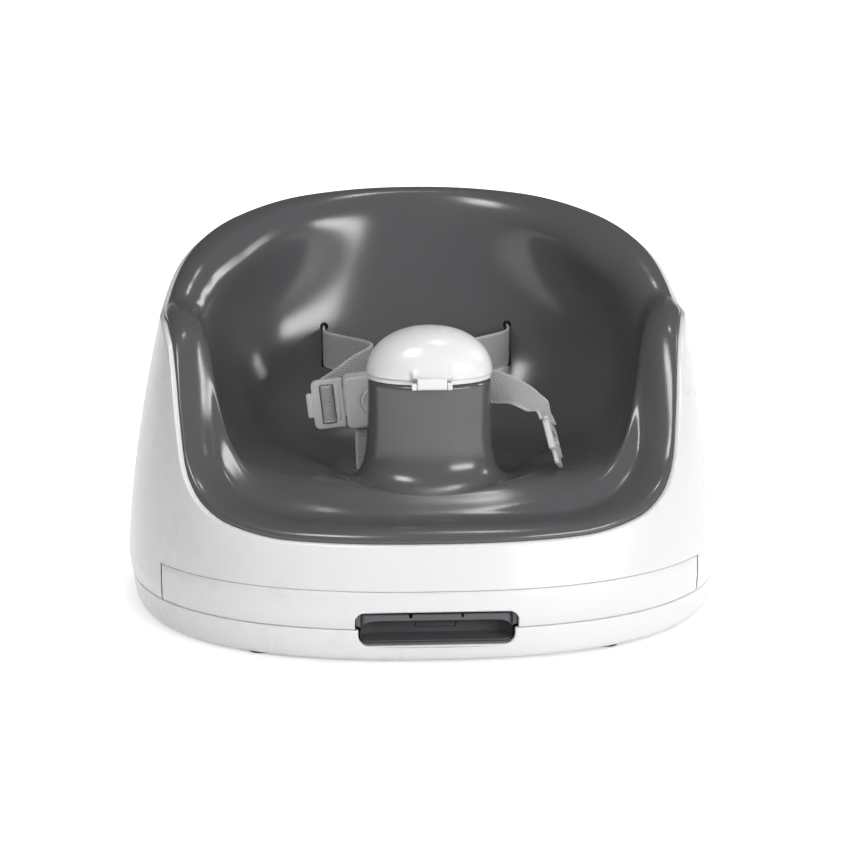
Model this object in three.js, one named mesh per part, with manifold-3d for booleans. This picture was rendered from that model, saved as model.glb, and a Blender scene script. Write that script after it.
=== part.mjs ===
// Chair booster seat: a white two-part base, a moulded foam insert with a pommel,
// a tray stored in the base like a drawer, a three-point harness and two chair straps.
// Millimetres. X to the right, Y to the back, Z up. The origin is on the table, below the middle.
import * as THREE from "three";
import { mergeVertices } from "three/addons/utils/BufferGeometryUtils.js";
import Module from "manifold-3d";

const wasm = await Module();
wasm.setup();

// Fits
const GAP = 0.35; // between pieces that touch
const RUNNING_GAP = 0.5; // between pieces that slide or turn

// Base
const BASE_WIDTH = 385;
const BASE_DEPTH = 330;
const WIDEST_Z = 34; // height of the widest line of the skirt
const SEAM_Z = 22; // between the upper and the lower shell
const FLOOR_Z = 1.5; // underside of the lower shell
const PLAN_POWER = 2.4; // squareness of the base seen from above
const SIDE_DRAW = 34.5; // how far a side leans in up to the top of the backrest
const FRONT_DRAW = 48; // how far the front leans back up to the arms
const BACK_DRAW = 33; // how far the back leans in up to its top
const SEAM_DRAW = 2.2; // how far the skirt turns in below its widest line
const TURN_UNDER = 7; // how far the lower shell rounds in to its flat underside
const SHELL_WALL = 3;
const LIP_WALL = 3.2; // width of the base's rim beside the insert
const LIP_DEPTH = 3; // depth of the seat of the insert's edge
const ARM_TOP_Z = 184.5;
const FRONT_RIM_Z = 72;
const BACK_RIM_Z = 242.5;
const FLOOR_WALL = 2.5;

// Bowl that the insert sits in
const BOWL_HALF_WIDTH = 124;
const BOWL_FRONT = BASE_DEPTH / 2 - 39;
const BOWL_BACK = BASE_DEPTH / 2 - 73;
const BOWL_FLOOR_Z = 71;
const BOWL_MIDDLE_Y = -15;
const BOWL_CORNER_Z = 76;

// Insert and pommel
const ROLL_RISE = 5; // crest of the foam edge above the rim
const SEAT_FLOOR_Z = 86;
const POMMEL_Y = -77;
const POMMEL_HALF_WIDTH = 38;
const POMMEL_HALF_DEPTH = 25;
const POMMEL_TOP_Z = 157;
const CORE_HALF_WIDTH = 27;
const CORE_HALF_DEPTH = 15;
const CORE_PLATE_HALF_WIDTH = 46;
const CORE_PLATE_HALF_DEPTH = 29;
const CORE_PLATE_WALL = 4;
const CORE_PLATE_Z = 71.4;

// Plug, lid and hinge on the pommel
const COLLAR_WALL = 2.8;
const PLUG_HALF_WIDTH = 17;
const PLUG_HALF_DEPTH = 12;
const PLUG_HEIGHT = 20;
const LID_HALF_WIDTH = 39;
const LID_HALF_DEPTH = 26.6;
const LID_HEIGHT = 29;
const LID_WALL = 2.2;
const DOME_POWER = 2.12; // squareness of the dome seen from the front
const RAISED = 0.6; // height of the raised strip and thumb pad on the dome
const THUMB_HALF_WIDTH = 14;
const LID_BASE_Z = POMMEL_TOP_Z + COLLAR_WALL + 2 * GAP;
const PLUG_SCREW_X = 21.6;
const PLUG_SCREW_LENGTH = 16;
const HINGE_HALF_WIDTH = 12.3;
const KNUCKLE_HALF_WIDTH = 9;
const KNUCKLE_RADIUS = 3.3;
const HINGE_PIN_RADIUS = 1.4;
const HINGE_Y = POMMEL_Y - POMMEL_HALF_DEPTH - 4;
const HINGE_Z = POMMEL_TOP_Z + 2.2;

// Tray
const TRAY_TOP_Z = 45.5;
const TRAY_HALF_WIDTH = BASE_WIDTH / 2 - 32.5;
const TRAY_BACK = 62;
const TRAY_LIP_HALF_WIDTH = TRAY_HALF_WIDTH + 6.5;
const TRAY_WALL = 2.6;
const TRAY_RIM = 13;
const TRAY_WELL_Z = 34;
const TRAY_SKID_Z = 24;
const RAIL_X = TRAY_HALF_WIDTH - 32;
const RAIL_WIDTH = 8;
const RAIL_Y = [43 - BASE_DEPTH / 2, TRAY_BACK - 4];
const WELL_DISH = 0.4; // how far the tray's floor sinks to its middle
const CUP_RADIUS = 34;
const CUP_DEPTH = 3;
const CUP_X = TRAY_HALF_WIDTH - 68;
const CUP_Y = -40;

// Finger opening and the hub behind it
const NOTCH_HALF_WIDTH = 49;
const NOTCH_TOP_Z = 33.2;
const NOTCH_BOTTOM_Z = 12;
const NOTCH_CORNER = 4;
const HUB_HALF_WIDTH = 46.3;
const HUB_FRONT = 7 - BASE_DEPTH / 2;
const HUB_BACK = HUB_FRONT + 66;
const HUB_BOTTOM_Z = 12.6;
const SCOOP_RADIUS = 13;
const SCOOP_Z = [13.9, 27]; // floor and top of the finger scoop
const SLIDER_HALF_WIDTH = 12;
const SLIDER_Z = [18.3, 21.8];
const SOCKET_Y = HUB_FRONT + 46; // middle of the hub's socket for the plug
const SPRING_STOP_Y = [HUB_FRONT + 17.4, HUB_FRONT + 18.6];
const SPRING_END_Y = HUB_FRONT + 26.5;
const HUB_SCREWS = [[-35, HUB_FRONT + 56], [35, HUB_FRONT + 56]];
const HUB_BOSS_RADIUS = 4.5;
const HUB_BOSS_Z = 20;
const HUB_SCREW_Z = HUB_BOTTOM_Z + 0.6;
const HUB_SCREW_LENGTH = 14;

// Webbing
const WEBBING_WIDTH = 25;
const WEBBING_WALL = 1.6;
const SLOT_X = 63;
const SLOT_Z = 143;
const SLOT_HEIGHT = 28;
const SLOT_WIDTH = 4;
const CROTCH_X = -32;
const CROTCH_Y = -35;
const ANCHOR_WALL = 3;
const ANCHOR_HALF = 8;
const ANCHOR_Y = BASE_DEPTH / 2 - 61; // front of the pocket for the anchor plates
const SLOT_Y = ANCHOR_Y - 19;
const CROTCH_ANCHOR_Z = 77.5;
const HANG_FROM = [74.6, -71.9, 126.6]; // end of the right strap
const HANG_DIRECTION = [5.6, -14.6, -24.5];
const HANG_GAP = 1.1; // from the strap's end to its tongue

// Buckle
const BUCKLE_X = -32.5;
const BUCKLE_Y = -34;
const BUCKLE_Z = 134;
const BUCKLE_WIDTH = 38;
const BUCKLE_HEIGHT = 34;
const BUCKLE_THICKNESS = 15;
const BUCKLE_LEAN = 6; // degrees
const BUTTON_RADIUS = 9;
const BUTTON_FLANGE = 1.4;
const BUTTON_TRAVEL = 2;
const TONGUE_WIDTH = 20;
const TONGUE_HEIGHT = 32;
const TONGUE_WALL = 4;
const BLADE_LENGTH = 8;
const BLADE_HEIGHT = 18;
const BLADE_WALL = 2.4;

// Feet, screws and chair straps
const FOOT_X = BASE_WIDTH / 2 - 96.5;
const FOOT_Y = BASE_DEPTH / 2 - 36;
const FOOT_LENGTH = 34;
const FOOT_WIDTH = 14;
const FOOT_POCKET = 1;
const SCREW_RADIUS = 1.7;
const SCREW_HEAD_RADIUS = 3.7;
const SCREW_HEAD_WALL = 2.4;
const SCREW_HEAD_Z = FLOOR_Z + 0.6;
const BASE_SCREW_LENGTH = 22;
const POST_RADIUS = 6;
const POST_FOOT_Z = 10;
const SCREW_X = [BASE_WIDTH / 2 - 20.5, BASE_WIDTH / 2 - 60.5];
const SCREW_Y = [-10, BASE_DEPTH / 2 - 67];
const BASE_SCREWS = [0, 1].flatMap((i) => [[-SCREW_X[i], SCREW_Y[i]], [SCREW_X[i], SCREW_Y[i]]]);
const BELT_CHANNEL = 3.6;
const BELT_BUCKLE_WIDTH = 36;
const BELT_BUCKLE_LENGTH = 27;
const BELT_BUCKLE_WALL = 9;
const BELT_EXIT = 15; // length of the opening that a chair strap goes up through

const feetPlaces = [[-FOOT_X, -FOOT_Y], [FOOT_X, -FOOT_Y], [-FOOT_X, FOOT_Y], [FOOT_X, FOOT_Y]];

// Rounding of the meshes
const COLUMNS = 52;
const LID_COLUMNS = 32;
const ROUND = 20;

// Rim line of the base: angle seen from above (0 front, 90 side, 180 back) and height
const RIM_LINE = [
  [0, FRONT_RIM_Z], [24, FRONT_RIM_Z + 0.6], [38, FRONT_RIM_Z + 6], [46, FRONT_RIM_Z + 15],
  [52, FRONT_RIM_Z + 30], [58, ARM_TOP_Z - 52], [64, ARM_TOP_Z - 25], [70, ARM_TOP_Z - 9],
  [80, ARM_TOP_Z], [92, ARM_TOP_Z], [97, ARM_TOP_Z + 10], [103, ARM_TOP_Z + 21],
  [113, BACK_RIM_Z - 26], [130, BACK_RIM_Z - 14], [155, BACK_RIM_Z - 3.5], [180, BACK_RIM_Z],
];

// Angles at which a ring of the insert states its values
const RING_ANGLES = [0, 45, 68, 90, 120, 180];

const paint = {
  white: { color: 0xf1f2f2, roughness: 0.28, metalness: 0 },
  lid: { color: 0xf4f5f5, roughness: 0.22, metalness: 0 },
  foam: { color: 0x55575a, roughness: 0.38, metalness: 0 },
  grey: { color: 0x4a4c4e, roughness: 0.5, metalness: 0 },
  rubber: { color: 0x2c2d2e, roughness: 0.8, metalness: 0 },
  webbing: { color: 0x9b9c9b, roughness: 0.9, metalness: 0 },
  buckle: { color: 0xb4b5b4, roughness: 0.45, metalness: 0 },
  core: { color: 0xc9caca, roughness: 0.55, metalness: 0 },
  steel: { color: 0x9ea0a2, roughness: 0.35, metalness: 0.9 },
};

const booster = new THREE.Group();

// Adds one named mesh to the booster.
function place(name, geometry, finish, parent = booster) {
  const mesh = new THREE.Mesh(geometry, new THREE.MeshStandardMaterial(finish));
  mesh.name = name;
  parent.add(mesh);
  return mesh;
}

// A smooth line through stations, level at both ends and without overshoot.
function smoothLine(stations) {
  const last = stations.length - 1;
  const secant = (i) =>
    (stations[i + 1][1] - stations[i][1]) / (stations[i + 1][0] - stations[i][0]);
  const slopes = stations.map((_, i) => {
    if (i === 0 || i === last) return 0;
    const before = secant(i - 1);
    const after = secant(i);
    return before * after <= 0 ? 0 : (2 * before * after) / (before + after);
  });
  return (x) => {
    let i = 0;
    while (i < last - 1 && x > stations[i + 1][0]) i += 1;
    const span = stations[i + 1][0] - stations[i][0];
    const t = THREE.MathUtils.clamp((x - stations[i][0]) / span, 0, 1);
    const t2 = t * t;
    const t3 = t2 * t;
    return (
      (2 * t3 - 3 * t2 + 1) * stations[i][1] + (t3 - 2 * t2 + t) * span * slopes[i] +
      (3 * t2 - 2 * t3) * stations[i + 1][1] + (t3 - t2) * span * slopes[i + 1]
    );
  };
}

// Folds an angle round the booster onto its right half, 0 to 180.
const folded = (angle) => Math.abs(((angle % 360) + 540) % 360 - 180);

// A superellipse point seen from above; front and back have their own reach.
function planPoint(angle, halfWidth, front, back, centreY, power, z) {
  const s = Math.sin(THREE.MathUtils.degToRad(angle));
  const c = Math.cos(THREE.MathUtils.degToRad(angle));
  const reach = c > 0 ? front : back;
  return new THREE.Vector3(
    Math.sign(s) * halfWidth * Math.abs(s) ** (2 / power),
    centreY - Math.sign(c) * reach * Math.abs(c) ** (2 / power),
    z,
  );
}

const leanShare = (z, height) => Math.max(0, (z - WIDEST_Z) / height);

// A point of the skirt at a height, moved in by an inset.
function skirt(angle, z, inset = 0) {
  const below = THREE.MathUtils.clamp((WIDEST_Z - z) / (WIDEST_Z - SEAM_Z), 0, 1);
  const tuck = SEAM_DRAW * below ** 2 + inset;
  return planPoint(
    angle,
    BASE_WIDTH / 2 - SIDE_DRAW * leanShare(z, BACK_RIM_Z - WIDEST_Z - 15) ** 1.49 - tuck,
    BASE_DEPTH / 2 - FRONT_DRAW * leanShare(z, ARM_TOP_Z - WIDEST_Z - 12) ** 1.1 - tuck,
    BASE_DEPTH / 2 - BACK_DRAW * leanShare(z, BACK_RIM_Z - WIDEST_Z) ** 1.3 - tuck,
    0,
    PLAN_POWER,
    z,
  );
}

const rimCurve = smoothLine(RIM_LINE);
const rim = (angle) => rimCurve(folded(angle));

// Angles of the mesh columns, closer together at the arms and wings.
const columnAngles = Array.from({ length: COLUMNS }, (_, i) => {
  const turn = (2 * i) / COLUMNS;
  return 180 * turn + (0.45 * 180 * Math.sin(2 * Math.PI * turn)) / (2 * Math.PI);
});
const ring = (point) => columnAngles.map((angle) => point(angle));

// A closed skin over a row of rings, ending in a point or a flat fan at both ends.
function skin(rings, start, end) {
  const columns = rings[0].length;
  const points = [start, ...rings.flat(), end];
  const index = [];
  const at = (row, column) => 1 + row * columns + (column % columns);
  for (let column = 0; column < columns; column += 1) {
    index.push(0, at(0, column + 1), at(0, column));
    index.push(points.length - 1, at(rings.length - 1, column), at(rings.length - 1, column + 1));
    for (let row = 0; row < rings.length - 1; row += 1) {
      index.push(at(row, column), at(row, column + 1), at(row + 1, column));
      index.push(at(row, column + 1), at(row + 1, column + 1), at(row + 1, column));
    }
  }
  return facingOut(new THREE.BufferGeometry().setFromPoints(points).setIndex(index));
}

// Turns a closed mesh's faces round if they point inwards.
function facingOut(geometry) {
  const p = geometry.attributes.position;
  const index = geometry.index.array;
  const [a, b, c] = [new THREE.Vector3(), new THREE.Vector3(), new THREE.Vector3()];
  let volume = 0;
  for (let i = 0; i < index.length; i += 3) {
    a.fromBufferAttribute(p, index[i]);
    b.fromBufferAttribute(p, index[i + 1]);
    c.fromBufferAttribute(p, index[i + 2]);
    volume += a.dot(b.cross(c));
  }
  if (volume < 0) {
    for (let i = 0; i < index.length; i += 3) [index[i + 1], index[i + 2]] = [index[i + 2], index[i + 1]];
  }
  return geometry;
}

// Solids and their booleans
function solid(geometry) {
  const bare = geometry.clone();
  bare.deleteAttribute("normal");
  bare.deleteAttribute("uv");
  const merged = mergeVertices(bare, 1e-4);
  return new wasm.Manifold(
    new wasm.Mesh({
      numProp: 3,
      vertProperties: new Float32Array(merged.attributes.position.array),
      triVerts: new Uint32Array(merged.index.array),
    }),
  );
}

function geometryOf(body) {
  const mesh = body.getMesh();
  const positions = new Float32Array(mesh.numVert * 3);
  for (let i = 0; i < mesh.numVert; i += 1) {
    positions.set(mesh.vertProperties.subarray(i * mesh.numProp, i * mesh.numProp + 3), i * 3);
  }
  return new THREE.BufferGeometry()
    .setAttribute("position", new THREE.BufferAttribute(positions, 3))
    .setIndex(new THREE.BufferAttribute(new Uint32Array(mesh.triVerts), 1));
}

const box = (x, y, z) =>
  new THREE.BoxGeometry(x[1] - x[0], y[1] - y[0], z[1] - z[0]).translate(
    (x[0] + x[1]) / 2, (y[0] + y[1]) / 2, (z[0] + z[1]) / 2);

// An upright oval column.
function oval(x, y, halfWidth, halfDepth, z, sides = ROUND) {
  return new THREE.CylinderGeometry(1, 1, z[1] - z[0], sides)
    .rotateX(Math.PI / 2)
    .scale(halfWidth, halfDepth, 1)
    .translate(x, y, (z[0] + z[1]) / 2);
}

const rod = (x, y, radius, z, sides = ROUND) => oval(x, y, radius, radius, z, sides);

// A cylinder along Y.
function plug(x, z, radius, y, sides = ROUND) {
  return new THREE.CylinderGeometry(radius, radius, y[1] - y[0], sides)
    .translate(x, (y[0] + y[1]) / 2, z);
}

// A cylinder along X.
function bar(y, z, radius, x, sides = ROUND) {
  return new THREE.CylinderGeometry(radius, radius, x[1] - x[0], sides)
    .rotateZ(Math.PI / 2)
    .translate((x[0] + x[1]) / 2, y, z);
}

function roundedRectangle(width, height, radius) {
  const w = width / 2;
  const h = height / 2;
  const shape = new THREE.Shape();
  shape.moveTo(-w + radius, -h);
  shape.lineTo(w - radius, -h);
  shape.absarc(w - radius, -h + radius, radius, -Math.PI / 2, 0, false);
  shape.lineTo(w, h - radius);
  shape.absarc(w - radius, h - radius, radius, 0, Math.PI / 2, false);
  shape.lineTo(-w + radius, h);
  shape.absarc(-w + radius, h - radius, radius, Math.PI / 2, Math.PI, false);
  shape.lineTo(-w, -h + radius);
  shape.absarc(-w + radius, -h + radius, radius, Math.PI, Math.PI * 1.5, false);
  return shape;
}

// A plate with round corners whose face looks along Z, from z[0] to z[1].
function plate(width, height, radius, z, bevel = 0) {
  return new THREE.ExtrudeGeometry(roundedRectangle(width - 2 * bevel, height - 2 * bevel, radius), {
    depth: z[1] - z[0] - 2 * bevel,
    bevelEnabled: bevel > 0,
    bevelThickness: bevel,
    bevelSize: bevel,
    bevelSegments: 1,
    curveSegments: 4,
  }).translate(0, 0, z[0] + bevel);
}

// The same with its face along Y: width on X, height on Z.
const plateY = (width, height, radius, y, bevel = 0) =>
  plate(width, height, radius, [-y[1], -y[0]], bevel).rotateX(Math.PI / 2);

// A flat strip along a smooth path; each station is a point and the direction of its width.
function ribbon(stations, width, wall, steps) {
  const path = new THREE.CatmullRomCurve3(stations.map((s) => new THREE.Vector3(...s[0])));
  const sides = new THREE.CatmullRomCurve3(stations.map((s) => new THREE.Vector3(...s[1])));
  const points = [];
  for (let i = 0; i <= steps; i += 1) {
    const t = i / steps;
    const centre = path.getPoint(t);
    const along = path.getTangent(t);
    const across = sides.getPoint(t);
    across.addScaledVector(along, -across.dot(along)).normalize();
    const face = new THREE.Vector3().crossVectors(along, across).normalize();
    for (const [u, v] of [[-1, -1], [1, -1], [1, 1], [-1, 1]]) {
      points.push(
        centre.clone().addScaledVector(across, (u * width) / 2).addScaledVector(face, (v * wall) / 2),
      );
    }
  }
  const index = [0, 1, 2, 0, 2, 3];
  for (let i = 0; i < steps; i += 1) {
    for (let k = 0; k < 4; k += 1) {
      const [a, b] = [4 * i + k, 4 * i + ((k + 1) % 4)];
      index.push(a, a + 4, b, b, a + 4, b + 4);
    }
  }
  const end = 4 * steps;
  index.push(end, end + 2, end + 1, end, end + 3, end + 2);
  return facingOut(new THREE.BufferGeometry().setFromPoints(points).setIndex(index));
}

// A compression spring along Y: one unbroken wire of round section.
function spring(radius, wire, turns, y) {
  const steps = turns * 8;
  const points = Array.from({ length: steps + 1 }, (_, i) => {
    const angle = (2 * Math.PI * i) / 8;
    const travel = THREE.MathUtils.lerp(y[0] + wire, y[1] - wire, i / steps);
    return new THREE.Vector3(radius * Math.cos(angle), travel, radius * Math.sin(angle));
  });
  const rings = points.map((centre, i) => {
    const angle = (2 * Math.PI * i) / 8;
    const out = new THREE.Vector3(Math.cos(angle), 0, Math.sin(angle));
    return Array.from({ length: 5 }, (_, k) => {
      const turn = (2 * Math.PI * k) / 5;
      return centre.clone()
        .addScaledVector(out, wire * Math.cos(turn))
        .add(new THREE.Vector3(0, wire * Math.sin(turn), 0));
    });
  });
  return skin(rings, points[0], points[steps]);
}

// A countersunk machine screw standing on its head, from z upwards.
function screw(length) {
  return new THREE.LatheGeometry(
    [[0, 0], [SCREW_HEAD_RADIUS, 0], [SCREW_HEAD_RADIUS, SCREW_HEAD_WALL],
      [SCREW_RADIUS, SCREW_HEAD_WALL], [SCREW_RADIUS, length], [0, length]]
      .map(([r, z]) => new THREE.Vector2(r, z)), 12).rotateX(Math.PI / 2);
}

// The bowl's surface: t runs from the rim's seat (0) down the wall to the foot (0.8) and on to
// the middle (1).
function bowl(angle, t) {
  const top = skirt(angle, rim(angle), LIP_WALL).setZ(rim(angle) - LIP_DEPTH);
  const side = Math.sin(THREE.MathUtils.degToRad(folded(angle) / 2)) ** 2;
  const footZ = THREE.MathUtils.lerp(BOWL_FLOOR_Z - 1.5, BOWL_CORNER_Z, Math.min(1, side * 2));
  const foot = planPoint(angle, BOWL_HALF_WIDTH, BOWL_FRONT, BOWL_BACK, 0, PLAN_POWER, footZ);
  if (t > 0.8) return foot.lerp(new THREE.Vector3(0, BOWL_MIDDLE_Y, BOWL_FLOOR_Z), (t - 0.8) / 0.2);
  const upper = top.clone().setZ(THREE.MathUtils.lerp(top.z, foot.z, 0.55));
  const lower = foot.clone().lerp(top, 0.45).setZ(foot.z);
  return new THREE.CubicBezierCurve3(top, upper, lower, foot).getPoint(t / 0.8);
}

// A point at a distance from the bowl's surface, above it when the distance is positive.
function besideBowl(angle, t, distance) {
  const dAngle = 0.5;
  const dt = 0.01;
  const around = bowl(angle + dAngle, t).sub(bowl(angle - dAngle, t));
  const inward = bowl(angle, Math.min(t + dt, 0.99)).sub(bowl(angle, Math.max(t - dt, 0)));
  const normal = new THREE.Vector3().crossVectors(around, inward).normalize();
  if (normal.z < 0) normal.negate();
  return bowl(angle, t).addScaledVector(normal, distance);
}

const BOWL_STEPS = [0.1, 0.2, 0.32, 0.45, 0.58, 0.7, 0.8, 0.9];

// Posts for the base screws, each with a rib out to the skirt.
function screwPost([x, y], within) {
  const top = BOWL_FLOOR_Z + 10;
  const out = Math.sign(x) * 50;
  const rib = solid(box([Math.min(x, x + out), Math.max(x, x + out)], [y - 1.5, y + 1.5], [SEAM_Z + 3, top]));
  return solid(rod(x, y, POST_RADIUS, [SEAM_Z + 1, top]))
    .add(rib)
    .intersect(within)
    .add(solid(rod(x, y, POST_RADIUS, [POST_FOOT_Z, SEAM_Z + 3])))
    .subtract(solid(rod(x, y, SCREW_RADIUS + GAP, [0, SEAM_Z + 12], 12)));
}

// Tray opening in the skirt and room behind it for the lip.
function trayOpening() {
  const top = TRAY_TOP_Z + RUNNING_GAP;
  const half = TRAY_LIP_HALF_WIDTH + RUNNING_GAP;
  return solid(box([-half, half], [-BASE_DEPTH, -40], [0, top]));
}

function baseShell() {
  const seam = SEAM_Z + GAP / 2;
  const inside = [0, ...BOWL_STEPS].map((t) => ring((angle) => bowl(angle, t)));
  // Rings up the skirt, over the rim and down into the bowl, the skirt's moved in by an inset
  const outline = (inset) => [
    ...[0, 0.08, 0.2, 0.36, 0.54, 0.72, 0.88, 1].map((t) =>
      ring((angle) => skirt(angle, THREE.MathUtils.lerp(seam, rim(angle) - 1.2, t), inset))),
    ring((angle) => skirt(angle, rim(angle), 1 + inset)),
    ring((angle) => skirt(angle, rim(angle), LIP_WALL)),
    ...inside,
  ];
  const under = BOWL_STEPS.slice(2).reverse().map((t) =>
    ring((angle) => besideBowl(angle, t, -SHELL_WALL)));
  const cavityTop = (angle) => rim(angle) - 6.5 - 16 * (1 - Math.exp((FRONT_RIM_Z - rim(angle)) / 40));
  const hidden = [0, 0.14, 0.32, 0.54, 0.78, 1].map((t) =>
    ring((angle) => skirt(angle, THREE.MathUtils.lerp(cavityTop(angle), seam, t), SHELL_WALL)));
  const top = new THREE.Vector3(0, BOWL_MIDDLE_Y, BOWL_FLOOR_Z);
  const bottom = top.clone().setZ(BOWL_FLOOR_Z - SHELL_WALL);
  const filled = solid(skin(outline(SHELL_WALL / 2), new THREE.Vector3(0, 0, seam), top));
  // The rings run from the hollow's middle down the skirt's inside and up over the rim.
  let shell = solid(skin([...under, ...hidden, ...outline(0)], bottom, top));
  for (const at of BASE_SCREWS) shell = shell.add(screwPost(at, filled));
  return shell.subtract(trayOpening());
}

// Lower shell

// Belt channels under the floor: name, place and reach from the middle.
const BELTS = [
  { name: "seat_belt", y: 14, reach: BASE_WIDTH / 2 - 42.5 },
  { name: "back_belt", y: BASE_DEPTH / 2 - 79, reach: BASE_WIDTH / 2 - 74.5 },
];
const BELT_CEILING_Z = FLOOR_Z + BELT_CHANNEL;
const BELT_BUCKLE_Z = [FLOOR_Z + GAP, FLOOR_Z + GAP + BELT_BUCKLE_WALL];
const BELT_SIDE = 1; // clearance beside the webbing and the buckle

function filledSkirt(inset, levels) {
  const rows = levels.map((z) => ring((angle) => skirt(angle, z, inset)));
  const middle = (z) => new THREE.Vector3(0, 0, z);
  return solid(skin(rows, middle(levels[0]), middle(levels.at(-1))));
}

function beltBed({ y, reach }) {
  const half = WEBBING_WIDTH / 2 + BELT_SIDE + FLOOR_WALL;
  const pocket = BELT_BUCKLE_LENGTH + BELT_SIDE + FLOOR_WALL;
  const pocketHalf = BELT_BUCKLE_WIDTH / 2 + BELT_SIDE + FLOOR_WALL;
  const channel = box([-reach - FLOOR_WALL, reach + FLOOR_WALL], [y - half, y + half],
    [FLOOR_Z + 1, BELT_CEILING_Z + FLOOR_WALL]);
  const cover = box([-pocket, pocket], [y - pocketHalf, y + pocketHalf],
    [FLOOR_Z + 1, BELT_BUCKLE_Z[1] + GAP + FLOOR_WALL]);
  return solid(channel).add(solid(cover));
}

function beltCut({ y, reach }) {
  const half = WEBBING_WIDTH / 2 + BELT_SIDE;
  const pocket = BELT_BUCKLE_LENGTH + BELT_SIDE;
  const pocketHalf = BELT_BUCKLE_WIDTH / 2 + BELT_SIDE;
  let cut = solid(box([-reach, reach], [y - half, y + half], [-1, BELT_CEILING_Z]))
    .add(solid(box([-pocket, pocket], [y - pocketHalf, y + pocketHalf], [-1, BELT_BUCKLE_Z[1] + GAP])));
  for (const side of [-1, 1]) {
    const ends = [side * (reach - BELT_EXIT), side * reach].sort((a, b) => a - b);
    cut = cut.add(solid(box(ends, [y - half, y + half], [-1, SEAM_Z])));
  }
  return cut;
}

const fingerOpening = () =>
  solid(plateY(2 * NOTCH_HALF_WIDTH, NOTCH_TOP_Z - NOTCH_BOTTOM_Z, NOTCH_CORNER, [-200, HUB_FRONT + 4])
    .translate(0, 0, (NOTCH_TOP_Z + NOTCH_BOTTOM_Z) / 2));

const footPlan = (grow, z, bevel = 0) =>
  plate(FOOT_LENGTH + 2 * grow, FOOT_WIDTH + 2 * grow, FOOT_WIDTH / 2 + grow - bevel - 0.01, z, bevel);

function baseFloor() {
  const seam = SEAM_Z - GAP / 2;
  const turnUnder = (wall, floor) => (s) => ring((angle) =>
    skirt(angle, THREE.MathUtils.lerp(seam, floor, Math.sin((s * Math.PI) / 2)),
      wall + TURN_UNDER * (1 - Math.cos((s * Math.PI) / 2))));
  const steps = [0, 0.25, 0.5, 0.75, 1];
  const inside = steps.map(turnUnder(SHELL_WALL, FLOOR_Z + FLOOR_WALL)).reverse();
  const outside = steps.map(turnUnder(0, FLOOR_Z));
  let floor = solid(skin([...inside, ...outside], new THREE.Vector3(0, 0, FLOOR_Z + FLOOR_WALL),
    new THREE.Vector3(0, 0, FLOOR_Z)));
  for (const belt of BELTS) floor = floor.add(beltBed(belt));
  for (const side of [-1, 1]) {
    const across = [side * (RAIL_X - RAIL_WIDTH / 2), side * (RAIL_X + RAIL_WIDTH / 2)].sort((a, b) => a - b);
    floor = floor.add(solid(box(across, RAIL_Y, [FLOOR_Z + 1, TRAY_SKID_Z - GAP])));
  }
  for (const [x, y] of BASE_SCREWS) {
    floor = floor.add(solid(rod(x, y, POST_RADIUS + 1.5, [FLOOR_Z + 1, POST_FOOT_Z - GAP])));
  }
  for (const belt of BELTS) floor = floor.subtract(beltCut(belt));
  for (const [x, y] of BASE_SCREWS) {
    const head = SCREW_HEAD_Z + SCREW_HEAD_WALL + GAP;
    floor = floor.subtract(solid(rod(x, y, SCREW_RADIUS + GAP, [0, SEAM_Z], 12)))
      .subtract(solid(rod(x, y, SCREW_HEAD_RADIUS + GAP, [0, head], 16)));
  }
  for (const [x, y] of feetPlaces) {
    floor = floor.subtract(solid(footPlan(GAP, [0, FLOOR_Z + FOOT_POCKET]).translate(x, y, 0)));
  }
  return floor.subtract(fingerOpening());
}

// Tray

const trayPlan = (angle, inset, z) =>
  planPoint(angle, TRAY_HALF_WIDTH - inset, BASE_DEPTH / 2 - 2 - inset, TRAY_BACK - inset, 0, PLAN_POWER, z);

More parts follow.
